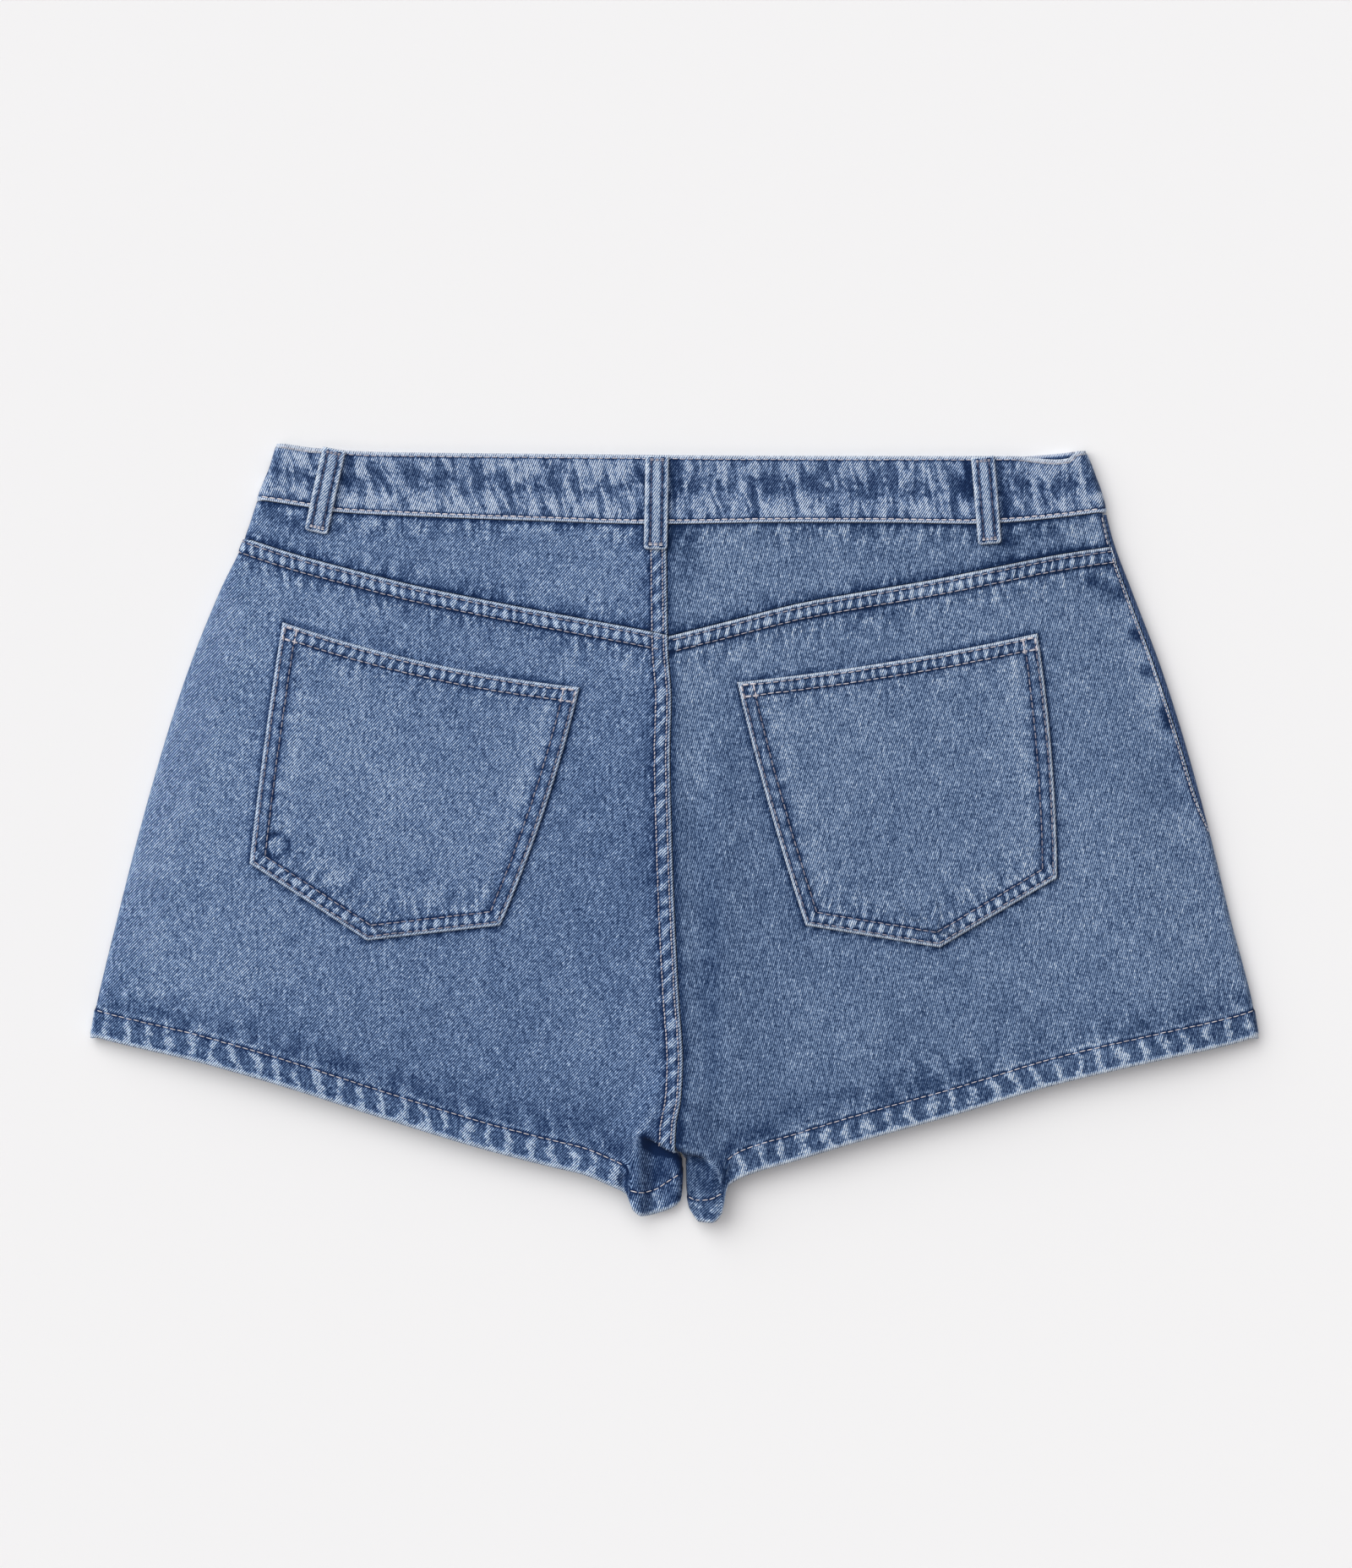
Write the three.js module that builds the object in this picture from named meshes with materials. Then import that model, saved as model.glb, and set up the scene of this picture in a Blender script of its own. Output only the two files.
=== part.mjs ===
// A denim skort laid flat with its back upwards: wide shorts with a skirt panel over the front.
// Millimetres, +Z up. X runs across the garment, Y from the hems towards the waistband, and the
// origin is on the surface that it lies on, under the middle of its outline.
// The front rests flat. The side folds stand on it, and the back is crowned over the hollow.

import * as THREE from "three";

// ---- Driving sizes --------------------------------------------------------------------------

const CLOTH = 1.2; // wall of one layer of denim
const BAND = 2.4; // waistband: two layers and the seam allowance inside
const LOOP_WALL = 2; // belt loop: a folded strip
const GAP = 0.3; // between pieces at a seam, and between layers that touch
const CURVED_GAP = 0.8; // along the centre seam and round the right side, where walls curve apart
const FOLD_RADIUS = 4.5; // outer radius of the cloth where it turns round a side
const UNDER = 1.3; // how far the back runs on past the fold along the underside
const SEAM_RISE = 0.8; // how far a felled seam, a hem or a turned edge stands up
const FELL_WIDTH = 8.7; // felled seam, from its edge to past its second row
const HEM_DEPTH = 14.4;
const CROWN_REACH = 90; // from a side to where the back reaches its full height

const QUARTER = (Math.PI / 2) * FOLD_RADIUS; // arc from the edge of a fold to its top
const UNDER_ARC = -(QUARTER + UNDER);
const SKIRT_FLAT_ARC = UNDER_ARC - 2.5; // where the skirt panel lies flat for good
const SKIRT_LIFT = CLOTH + GAP; // the shorts' fronts lie on the skirt panel

// The outer edges of the folded sides.
const SIDES = [
  { y: -112, left: -318.2, right: 317.6 },
  { y: -90, left: -313.7, right: 313.3 },
  { y: -48, left: -303.6, right: 302.2 },
  { y: 0, left: -291.4, right: 290.5 },
  { y: 48, left: -277.8, right: 277.4 },
  { y: 90, left: -264.0, right: 264.0 },
  { y: 131, left: -247.5, right: 248.4 },
  { y: 158, left: -234.6, right: 238.3 },
  { y: 181, left: -226.8, right: 232.3 },
  { y: 195, left: -221.3, right: 227.7 },
  { y: 212, left: -215.5, right: 220.4 },
];

// How far the back rises over the side folds, at each height up the garment.
const CROWN = [
  { y: -210, rise: 4.4 },
  { y: -110, rise: 5.4 },
  { y: 0, rise: 6.4 },
  { y: 100, rise: 5.8 },
  { y: 165, rise: 3.6 },
  { y: 212, rise: 2.6 },
];

const WAIST_EDGE = [
  { x: -216, y: 211.6 },
  { x: -197, y: 208.8 },
  { x: -160, y: 206.4 },
  { x: -50, y: 205.2 },
  { x: 60, y: 204.3 },
  { x: 185, y: 204.2 },
  { x: 207, y: 205.6 },
  { x: 222, y: 207.6 },
];

const BAND_SEAM = [
  { x: -227, y: 180.4 },
  { x: -200, y: 176.2 },
  { x: -183, y: 173.4 },
  { x: -148, y: 171.4 },
  { x: -80, y: 168.8 },
  { x: -10, y: 166.9 },
  { x: 60, y: 167.8 },
  { x: 120, y: 167.6 },
  { x: 160, y: 167.0 },
  { x: 178, y: 167.7 },
  { x: 207, y: 170.3 },
  { x: 234, y: 173.8 },
];

// The centre back seam: the left side laps over the right, and this is the lap's edge.
const CENTRE_SEAM = [
  { y: -178, x: -0.5 },
  { y: -159, x: 0.5 },
  { y: -144, x: 3.2 },
  { y: -124, x: 4.1 },
  { y: -88, x: 1.8 },
  { y: -39, x: -0.6 },
  { y: 0, x: -1.9 },
  { y: 42, x: -2.8 },
  { y: 72, x: -2.1 },
  { y: 100, x: -3.9 },
  { y: 170, x: -4.9 },
];

// Where the right side seam lies round the fold: arc up from the edge, or down when negative.
const RIGHT_SEAM = [
  { y: -112, arc: UNDER_ARC },
  { y: -50, arc: UNDER_ARC },
  { y: -16, arc: -3.6 },
  { y: 0, arc: 0.8 },
  { y: 16, arc: 4.4 },
  { y: 36, arc: 5.4 },
  { y: 90, arc: 5.9 },
  { y: 131, arc: 5.5 },
  { y: 158, arc: 4.4 },
  { y: 176, arc: 3.6 },
];

// Soft folds of the back: a ridge, or a trough when its height is negative, between two points.
const FOLDS = [
  { x0: -2, y0: -148, x1: 4, y1: -178, width: 17, height: 2.6 }, // lift over the crotch
  { x0: -8, y0: -140, x1: -20, y1: -163, width: 7, height: 1.3 }, // drag line, left leg
  { x0: 8, y0: -142, x1: 21, y1: -172, width: 8, height: 0.9 }, // drag line, right leg
  { x0: 9, y0: 60, x1: 15, y1: -130, width: 9, height: -1.0 }, // hollow beside the seam
  { x0: 24, y0: 10, x1: 27, y1: -140, width: 10, height: 0.7 },
  { x0: -30, y0: 40, x1: -26, y1: -130, width: 16, height: 0.6 },
  { x0: -120, y0: -105, x1: -70, y1: -172, width: 22, height: -0.9 },
  { x0: -190, y0: -95, x1: -205, y1: -132, width: 24, height: 0.7 },
  { x0: 105, y0: -95, x1: 90, y1: -168, width: 24, height: 0.8 },
  { x0: 235, y0: 25, x1: 275, y1: -110, width: 20, height: 0.9 },
  { x0: 205, y0: -60, x1: 215, y1: -132, width: 20, height: -0.7 },
  { x0: -28, y0: -188, x1: -27, y1: -203, width: 2.6, height: -2.4 }, // pleat beside the tongue
  { x0: 29, y0: -184, x1: 31, y1: -196, width: 2.6, height: -2.0 },
];

// Each leg's own lines. The inner thigh turns up under the crotch and lies there as a tongue,
// lower than the back, with an inner edge that turns down to the front.
const LEGS = {
  left: {
    side: -1,
    yoke: [
      { x: -236, y: 160.6 },
      { x: -207, y: 151.1 },
      { x: -175, y: 142.4 },
      { x: -143, y: 134.3 },
      { x: -112, y: 127.7 },
      { x: -49, y: 115.6 },
      { x: -17, y: 109.6 },
      { x: -4, y: 106.8 },
    ],
    hem: [
      { x: -318, y: -110.6 },
      { x: -300, y: -115.2 },
      { x: -262, y: -124.0 },
      { x: -216, y: -137.0 },
      { x: -160, y: -154.9 },
      { x: -105, y: -171.8 },
      { x: -68, y: -181.5 },
      { x: -50, y: -185.8 },
      { x: -36, y: -191.6 },
      { x: -26.6, y: -196.5 },
      { x: -23.0, y: -205.0 },
      { x: -18, y: -208.4 },
      { x: -5, y: -205.5 },
      { x: 2, y: -202.0 },
    ],
    inner: [
      { y: -202, x: 2.0 },
      { y: -196, x: 3.2 },
      { y: -186, x: 3.8 },
      { y: -170, x: 4.1 },
    ],
    backParting: { from: -171, length: 7 },
    frontParting: { from: -172, length: 11 },
  },
  right: {
    side: 1,
    yoke: [
      { x: -3.6, y: 106.2 },
      { x: 34, y: 115.7 },
      { x: 68, y: 124.2 },
      { x: 103, y: 130.6 },
      { x: 138, y: 136.6 },
      { x: 172, y: 143.4 },
      { x: 207, y: 150.4 },
      { x: 238, y: 155.2 },
    ],
    hem: [
      { x: 9.2, y: -208.0 },
      { x: 13, y: -211.6 },
      { x: 20, y: -212.0 },
      { x: 25.6, y: -207.0 },
      { x: 28.4, y: -192.6 },
      { x: 42, y: -185.2 },
      { x: 60, y: -180.0 },
      { x: 97, y: -168.8 },
      { x: 152, y: -153.4 },
      { x: 207, y: -137.0 },
      { x: 260, y: -124.6 },
      { x: 304, y: -114.8 },
      { x: 318, y: -110.4 },
    ],
    inner: [
      { y: -208, x: 9.2 },
      { y: -201, x: 7.4 },
      { y: -192, x: 6.1 },
      { y: -170, x: 5.7 },
    ],
    backParting: { from: -170, length: 7 },
    frontParting: { from: -165, length: 10 },
  },
};

// Where the back folds down to the tongues: its lip, how deep it drops and how far it overhangs.
const LIP = [
  { x: -24, y: -163 },
  { x: -11.7, y: -167.6 },
  { x: -0.9, y: -173 },
  { x: 10.8, y: -175.3 },
  { x: 24, y: -179 },
];
const LIP_DROP = 6.6;
const LIP_LENGTH = 6;
const LIP_OVERHANG = 1.2;
const LIP_HALF_WIDTH = 21;
const LIP_FADE = 10;
const ROLL_RADIUS = 3.6; // turn of a tongue's inner edge
const TURNING = { from: -172, length: 8 }; // where it starts to turn down, and over what height

// The hem of the skirt panel, shorter than the shorts all along.
const SKIRT_HEM = [
  { x: -318, y: -97 },
  { x: -216, y: -123 },
  { x: -105, y: -153 },
  { x: -40, y: -165 },
  { x: 0, y: -168 },
  { x: 40, y: -165 },
  { x: 105, y: -152 },
  { x: 216, y: -122 },
  { x: 318, y: -97 },
];
const FRONT_SHORTER = 5; // the shorts' front hems lie this far inside the back ones
const FRONT_INSET = FOLD_RADIUS + UNDER + 2 * GAP + 1; // and their sides from the side folds

// Patch pockets: corners in X and Y, with the point of the lower edge.
const POCKETS = {
  pocket_left: {
    topLeft: [-212.9, 113.9],
    topRight: [-51.8, 78.6],
    lowRight: [-94.8, -50.5],
    tip: [-167.2, -58.6],
    lowLeft: [-230.7, -16.9],
    topSag: 4.6,
    leftBulge: 0.8,
    rightBulge: 3.0,
  },
  pocket_right: {
    topLeft: [33.7, 81.3],
    topRight: [196.5, 107.8],
    lowRight: [207.2, -24.7],
    tip: [143.5, -62.5],
    lowLeft: [70.9, -50.5],
    topSag: 2.4,
    leftBulge: 1.6,
    rightBulge: 2.4,
  },
};
const POCKET_EDGE = 8; // turned edge with its two rows of stitching
const POCKET_RISE = 0.5;

// Belt loops: middle of the upper and the lower end, and what the lower end is sewn on.
const LOOPS = {
  belt_loop_left: { top: [-184.8, 208.0], bottom: [-194.8, 162.6], on: 0 },
  belt_loop_centre: { top: [-9.7, 204.4], bottom: [-10.6, 153.2], on: SEAM_RISE },
  belt_loop_right: { top: [166.8, 203.8], bottom: [170.8, 156.2], on: 0 },
};
const LOOP_WIDTH = 12.8;
const LOOP_ARCH = 1.1;

const DENIM = { body: 0x7089ad, band: 0x7c94b6, fold: 0x64799b };
const ROUGHNESS = 0.92;

// ---- Small helpers --------------------------------------------------------------------------

const clamp = (value, low, high) => Math.min(high, Math.max(low, value));
const mix = (a, b, share) => a + (b - a) * share;
const mixPoint = (a, b, share) => a.map((value, k) => mix(value, b[k], share));
const steps = (count, from = 0, to = 1) =>
  Array.from({ length: count + 1 }, (_, i) => mix(from, to, i / count));

function ease(value) {
  const share = clamp(value, 0, 1);
  return share * share * (3 - 2 * share);
}

// The value of a table at a key, on a smooth curve through its rows that never overshoots them.
function read(table, key, value, at) {
  const last = table.length - 1;
  const rate = (n) => (table[n + 1][value] - table[n][value]) / (table[n + 1][key] - table[n][key]);
  const slope = (n) => {
    if (n === 0 || n === last) return rate(Math.max(n - 1, 0));
    const before = rate(n - 1);
    const after = rate(n);
    return before * after > 0 ? (2 * before * after) / (before + after) : 0;
  };
  if (at <= table[0][key]) return table[0][value] + rate(0) * (at - table[0][key]);
  if (at >= table[last][key]) return table[last][value] + rate(last - 1) * (at - table[last][key]);
  const i = table.findIndex((row) => row[key] > at) - 1;
  const span = table[i + 1][key] - table[i][key];
  const s = (at - table[i][key]) / span;
  const rest = 1 - s;
  return (
    rest * rest * (1 + 2 * s) * table[i][value] +
    s * s * (3 - 2 * s) * table[i + 1][value] +
    span * s * rest * (rest * slope(i) - s * slope(i + 1))
  );
}

// Height at which a line across the garment meets an edge that runs up it.
function meet(line, edgeX) {
  let y = 0;
  for (let round = 0; round < 20; round++) y = line(edgeX(y));
  return y;
}

const sideEdge = (side, y) => read(SIDES, "y", side < 0 ? "left" : "right", y);
const foldTopX = (side) => (y) => sideEdge(side, y) - side * FOLD_RADIUS;
const centreX = (y) => read(CENTRE_SEAM, "y", "x", y);
const waistLine = (x) => read(WAIST_EDGE, "x", "y", x);
const bandLine = (x) => read(BAND_SEAM, "x", "y", x);

// Where the back meets the front round a side, as an arc up from the edge.
const seamArc = (side, y) => (side < 0 ? UNDER_ARC : read(RIGHT_SEAM, "y", "arc", y));

// ---- The back's outer face ------------------------------------------------------------------

// Height that the soft folds add.
function foldHeight(x, y) {
  let sum = 0;
  for (const fold of FOLDS) {
    const dx = fold.x1 - fold.x0;
    const dy = fold.y1 - fold.y0;
    const along = ((x - fold.x0) * dx + (y - fold.y0) * dy) / (dx * dx + dy * dy);
    const share = clamp(along, 0, 1);
    const away = Math.hypot(x - fold.x0 - share * dx, y - fold.y0 - share * dy);
    sum += fold.height * Math.exp(-((away / fold.width) ** 2));
  }
  return sum;
}

// Height over the surface that the garment lies on, before the drop at the crotch.
function crownHeight(x, y) {
  const inside = Math.min(x - foldTopX(-1)(y), foldTopX(1)(y) - x);
  const reach = 1 - clamp(inside / CROWN_REACH, 0, 1);
  const crown = read(CROWN, "y", "rise", y) * (1 - reach * reach);
  return 2 * FOLD_RADIUS + crown + foldHeight(x, y) * ease(inside / 12);
}

// A point of the back over X and Y. It drops over the lip, which overhangs the drop.
function onBack([x, y]) {
  const strength = ease((LIP_HALF_WIDTH - Math.abs(x)) / LIP_FADE);
  const through = ease((read(LIP, "x", "y", x) - y) / LIP_LENGTH + 0.5);
  const forward = LIP_OVERHANG * strength * Math.sin(2 * Math.PI * through);
  return [x, y - forward, crownHeight(x, y) - LIP_DROP * strength * through];
}

// A point where the cloth turns round a side, by its arc up from the edge.
function onSide(side, y, arc) {
  const angle = clamp(arc / FOLD_RADIUS, -Math.PI / 2, Math.PI / 2);
  const beyond = Math.abs(arc - angle * FOLD_RADIUS);
  const inwards = FOLD_RADIUS * (1 - Math.cos(angle)) + beyond;
  return [sideEdge(side, y) - side * inwards, y, FOLD_RADIUS * (1 + Math.sin(angle))];
}

// ---- Walls ----------------------------------------------------------------------------------

// A closed wall from a grid of points of its outer face, with rows down the garment and columns
// that run to the right where that face looks up. relief(row, column) lifts the outer face.
function wall(grid, thickness, relief = () => 0) {
  const rows = grid.length;
  const columns = grid[0].length;
  const at = (i, j) => new THREE.Vector3(...grid[clamp(i, 0, rows - 1)][clamp(j, 0, columns - 1)]);
  const outer = [];
  const inner = [];
  for (let i = 0; i < rows; i++)
    for (let j = 0; j < columns; j++) {
      const down = at(i + 1, j).sub(at(i - 1, j));
      const across = at(i, j + 1).sub(at(i, j - 1));
      const normal = down.cross(across).normalize();
      outer.push(at(i, j).addScaledVector(normal, relief(i, j)));
      inner.push(at(i, j).addScaledVector(normal, -thickness));
    }
  const index = [];
  const quad = (a, b, c, d) => index.push(a, b, c, a, c, d);
  const under = outer.length;
  for (let i = 0; i + 1 < rows; i++)
    for (let j = 0; j + 1 < columns; j++) {
      const a = i * columns + j;
      const b = a + columns;
      quad(a, b, b + 1, a + 1);
      quad(under + a, under + a + 1, under + b + 1, under + b);
    }
  const rim = (a, b) => quad(a, b, under + b, under + a);
  const bottom = (rows - 1) * columns;
  for (let j = 0; j + 1 < columns; j++) {
    rim(j, j + 1);
    rim(bottom + j + 1, bottom + j);
  }
  for (let a = 0; a < bottom; a += columns) {
    rim(a + columns, a);
    rim(a + columns - 1, a + 2 * columns - 1);
  }
  const geometry = new THREE.BufferGeometry().setFromPoints([...outer, ...inner]);
  geometry.setIndex(index);
  geometry.computeVertexNormals();
  return geometry;
}

const skort = new THREE.Group();

function add(name, geometry, colour = DENIM.body) {
  const material = new THREE.MeshStandardMaterial({ color: colour, roughness: ROUGHNESS });
  const mesh = new THREE.Mesh(geometry, material);
  mesh.name = name;
  skort.add(mesh);
}

// The same columns the other way round: it turns a wall's outer face over.
const reversed = (grid) => grid.map((row) => [...row].reverse());

// Adds a wall of the back whose columns run from a side to the centre.
function addBackWall(name, side, grid, relief) {
  const last = grid[0].length - 1;
  if (side < 0) add(name, wall(grid, CLOTH, relief));
  else add(name, wall(reversed(grid), CLOTH, (i, j) => relief(i, last - j)));
}

// ---- Panels ---------------------------------------------------------------------------------

// A patch between four boundary curves, each from 0 to 1, in X and Y.
function patch(top, bottom, outer, inner) {
  return (s, t) =>
    [0, 1].map(
      (k) =>
        mix(top(s)[k], bottom(s)[k], t) +
        mix(outer(t)[k], inner(t)[k], s) -
        mix(mix(top(0)[k], top(1)[k], s), mix(bottom(0)[k], bottom(1)[k], s), t),
    );
}

// A panel between an upper and a lower line across, and an outer and an inner edge down.
// place(s, t) takes shares, each with an extra distance in millimetres.
function panel(upper, lower, outerX, innerX) {
  const ends = [outerX, innerX].map((edge) => [meet(upper, edge), meet(lower, edge)]);
  const down = (edge, [from, to]) => (t) => {
    const y = mix(from, to, t);
    return [edge(y), y];
  };
  const across = (line, n) => (s) => {
    const x = mix(outerX(ends[0][n]), innerX(ends[1][n]), s);
    return [x, line(x)];
  };
  const outer = down(outerX, ends[0]);
  const inner = down(innerX, ends[1]);
  const face = patch(across(upper, 0), across(lower, 1), outer, inner);
  const lengths = ends.map(([from, to]) => from - to);
  const widths = [0, 1].map((t) => Math.abs(outer(t)[0] - inner(t)[0]));
  const place = (column, row) =>
    face(
      column.s + (column.mm ?? 0) / mix(widths[0], widths[1], row.t),
      row.t + (row.mm ?? 0) / mix(lengths[0], lengths[1], column.s),
    );
  return { place, outer, lengths };
}

const shares = (list) => list.map((s) => ({ s }));
const rowsAt = (list) => list.map((t) => ({ t }));

// Points of a panel's first columns, which turn round its side from the seam to the fold's top.
const FOLD_STEPS = 5;
const FOLD_COLUMNS = FOLD_STEPS + 1;
const SQUARE_END = 0.4; // a short first step keeps the wall's end square to its face
function foldPoints(side, y) {
  const from = seamArc(side, y) + CURVED_GAP / 2;
  const arcs = [from, ...steps(FOLD_STEPS, from + SQUARE_END, QUARTER).slice(0, -1)];
  return arcs.map((arc) => onSide(side, y, arc));
}

// How much of a raised band is left in each column from the side: none where the garment rests.
const foldRelief = (column) => SEAM_RISE * ease((column - 2) / 3);

// ---- Waistband ------------------------------------------------------------------------------

function bandEnds(line, offset) {
  return [-1, 1].map((side) => meet(line, foldTopX(side)) + offset);
}

function waistbandBack() {
  const across = 24;
  const tops = bandEnds(waistLine, 0);
  const lows = bandEnds(bandLine, GAP);
  const grid = [0, 0.07, 0.5, 0.93, 1].map((t) => {
    const [yLeft, yRight] = mixPoint(tops, lows, t);
    const face = steps(across).map((s) => {
      const x = mix(foldTopX(-1)(yLeft), foldTopX(1)(yRight), s);
      return onBack([x, mix(waistLine(x), bandLine(x) + GAP, t)]);
    });
    const arcs = steps(FOLD_COLUMNS, UNDER_ARC, QUARTER).slice(0, -1);
    const left = arcs.map((arc) => onSide(-1, yLeft, arc));
    const right = arcs.map((arc) => onSide(1, yRight, arc)).reverse();
    return [...left, ...face, ...right];
  });
  const end = across + 2 * FOLD_COLUMNS;
  const relief = (i, j) => SEAM_RISE * ease((Math.min(j, end - j) - FOLD_COLUMNS + 1) / 2);
  add("waistband_back", wall(grid, BAND - SEAM_RISE, relief), DENIM.band);
}

function waistbandFront() {
  const inset = FOLD_RADIUS + UNDER + GAP;
  const tops = bandEnds(waistLine, 0);
  const lows = bandEnds(bandLine, GAP);
  const grid = steps(2).map((t) => {
    const [left, right] = mixPoint(tops, lows, t).map((y, n) =>
      n === 0 ? sideEdge(-1, y) + inset : sideEdge(1, y) - inset,
    );
    return steps(16, right, left).map((x) => [x, mix(waistLine(x), bandLine(x) + GAP, t), 0]);
  });
  add("waistband_front", wall(grid, BAND), DENIM.band);
}

// ---- Yokes and back legs --------------------------------------------------------------------

const yokeLine = (leg) => (x) => read(leg.yoke, "x", "y", x);
const hemLine = (leg) => (x) => read(leg.hem, "x", "y", x);

function yoke(name, leg) {
  const { side } = leg;
  const centre = (y) => centreX(y) + (side > 0 ? CURVED_GAP : 0);
  const { place, outer } = panel(bandLine, (x) => yokeLine(leg)(x) + GAP, foldTopX(side), centre);
  const columns = [
    ...shares([...steps(11, 0, 0.9)]),
    { s: 1, mm: -FELL_WIDTH - SEAM_RISE },
    { s: 1, mm: -FELL_WIDTH },
    { s: 1 },
  ];
  const rows = rowsAt(steps(5));
  const grid = rows.map((row) => [
    ...foldPoints(side, outer(row.t)[1]),
    ...columns.map((column) => onBack(place(column, row))),
  ]);
  const fell = grid[0].length - 2;
  addBackWall(name, side, grid, (i, j) => (side < 0 && j >= fell ? SEAM_RISE : 0));
}

// How far the legs have parted at a height: 0 above the crotch and 1 on the tongues.
const parted = ({ from, length }, y) => ease((from - y) / length);

// The inner edge of a leg: the centre seam, and under the crotch the tongue's own edge.
function innerEdge(leg, y) {
  const seam = centreX(y) + (leg.side > 0 ? CURVED_GAP : 0);
  return mix(seam, read(leg.inner, "y", "x", y), parted(leg.backParting, y));
}

// The last strip of a leg is flat along the centre seam. Under the crotch it turns down to the
// front. This is its point at a distance from where it starts, over X and Y and from the face.
function rollPoint(turnShare, distance) {
  const bend = Math.max(turnShare, 1e-5) / ROLL_RADIUS;
  const curved = Math.min(distance, (Math.PI / 2) * ROLL_RADIUS);
  const straight = distance - curved;
  const angle = bend * curved;
  return {
    inwards: Math.sin(angle) / bend + straight * Math.cos(angle),
    drop: (1 - Math.cos(angle)) / bend + straight * Math.sin(angle),
  };
}

const ROLL_COLUMNS = 6;
const ROLL_ARC = (Math.PI / 2) * ROLL_RADIUS;
const FRONT_TOP = SKIRT_LIFT + CLOTH;

// How far the strip has turned at a height of the leg, and how wide its cloth is there.
function stripShape(leg, y) {
  const turnShare = parted(TURNING, y);
  const tongueTop = crownHeight(innerEdge(leg, y), y) - LIP_DROP;
  const straight = tongueTop - ROLL_RADIUS - FRONT_TOP - GAP;
  return { turnShare, cloth: ROLL_ARC + turnShare * straight };
}

// The strip's points after the panel's last one, which has its row's slope.
function legStrip(leg, [x, y], slope) {
  const { turnShare, cloth } = stripShape(leg, y);
  const start = onBack([x, y])[2];
  return steps(ROLL_COLUMNS, 0, cloth)
    .slice(1)
    .map((distance) => {
      const { inwards, drop } = rollPoint(turnShare, distance);
      const onwards = -leg.side * inwards;
      const point = onBack([x + onwards, y + slope * onwards * (1 - turnShare)]);
      return [point[0], point[1], mix(point[2], start, turnShare) - drop];
    });
}

function backLeg(name, leg) {
  const { side } = leg;
  const stripStart = (y) => {
    const { turnShare, cloth } = stripShape(leg, y);
    return innerEdge(leg, y) + side * rollPoint(turnShare, cloth).inwards;
  };
  const { place, outer, lengths } = panel(yokeLine(leg), hemLine(leg), foldTopX(side), stripStart);
  const columns = shares([
    0, 0.05, 0.14, 0.25, 0.36, 0.47, 0.58, 0.68, 0.76, 0.82, 0.87, 0.905, 0.925, 0.945, 0.965, 0.985, 1,
  ]);
  const lap = [{ t: 0 }, { t: 0, mm: FELL_WIDTH - SEAM_RISE }, { t: 0, mm: FELL_WIDTH }];
  const body = rowsAt([0.1, 0.21, 0.32, 0.43, 0.54, 0.64, 0.72, 0.78, 0.83, ...steps(10, 0.87, 0.938)]);
  const hem = [-HEM_DEPTH - SEAM_RISE, -HEM_DEPTH, -HEM_DEPTH / 2, 0].map((mm) => ({ t: 1, mm }));
  const rows = [...lap, ...body, ...hem];
  const grid = rows.map((row) => {
    const y = outer(row.t + (row.mm ?? 0) / lengths[0])[1];
    const face = columns.map((column) => place(column, row));
    const [before, last] = face.slice(-2);
    const slope = (last[1] - before[1]) / (last[0] - before[0]);
    return [
      ...foldPoints(side, y),
      ...face.map((spot) => onBack(spot)),
      ...legStrip(leg, last, slope),
    ];
  });
  const isRaised = (i, j) =>
    i <= 1 || i >= rows.length - 3 || (side < 0 && j >= FOLD_COLUMNS + columns.length);
  addBackWall(name, side, grid, (i, j) => (isRaised(i, j) ? foldRelief(j) : 0));
}

// ---- Fronts ---------------------------------------------------------------------------------

const frontTop = (x) => bandLine(x) - GAP;

// The shorts' front: flat on the skirt panel.
function frontLeg(name, leg) {
  const { side } = leg;
  const centre = (y) => mix((side * GAP) / 2, innerEdge(leg, y), parted(leg.frontParting, y));
  const outer = (y) => sideEdge(side, y) - side * FRONT_INSET;
  const hem = (x) => hemLine(leg)(x) + FRONT_SHORTER;
  const { place } = panel(frontTop, hem, outer, centre);
  const columns = shares([0, 0.2, 0.4, 0.6, 0.75, 0.87, 0.92, 0.96, 1]);
  const rows = rowsAt([0, 0.2, 0.4, 0.6, 0.8, ...steps(8, 0.87, 0.96), 1]);
  const grid = rows.map((row) => columns.map((column) => [...place(column, row), SKIRT_LIFT]));
  add(name, wall(side < 0 ? reversed(grid) : grid, CLOTH), DENIM.fold);
}

// The skirt panel: one piece over both legs, under the garment as it lies. It turns up round the
// right side to the seam.
function skirtFront() {
  const skirtHem = (x) => read(SKIRT_HEM, "x", "y", x);
  const leftX = (y) => onSide(-1, y, UNDER_ARC - 2 * GAP)[0];
  const rightX = (y) => onSide(1, y, SKIRT_FLAT_ARC)[0];
  const { place, outer } = panel(frontTop, skirtHem, rightX, leftX);
  const columns = shares(steps(14));
  const grid = rowsAt([...steps(13, 0, 0.94), 1]).map((row) => {
    const y = outer(row.t)[1];
    const from = seamArc(1, y) - CURVED_GAP / 2;
    const arcs = [from, ...steps(FOLD_COLUMNS, from - SQUARE_END, SKIRT_FLAT_ARC).slice(0, -1)];
    return [
      ...arcs.map((arc) => onSide(1, y, arc)),
      ...columns.map((column) => [...place(column, row), 0]),
    ];
  });
  add("skirt_front", wall(grid, CLOTH));
}

// ---- Pockets and belt loops -----------------------------------------------------------------

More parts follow.
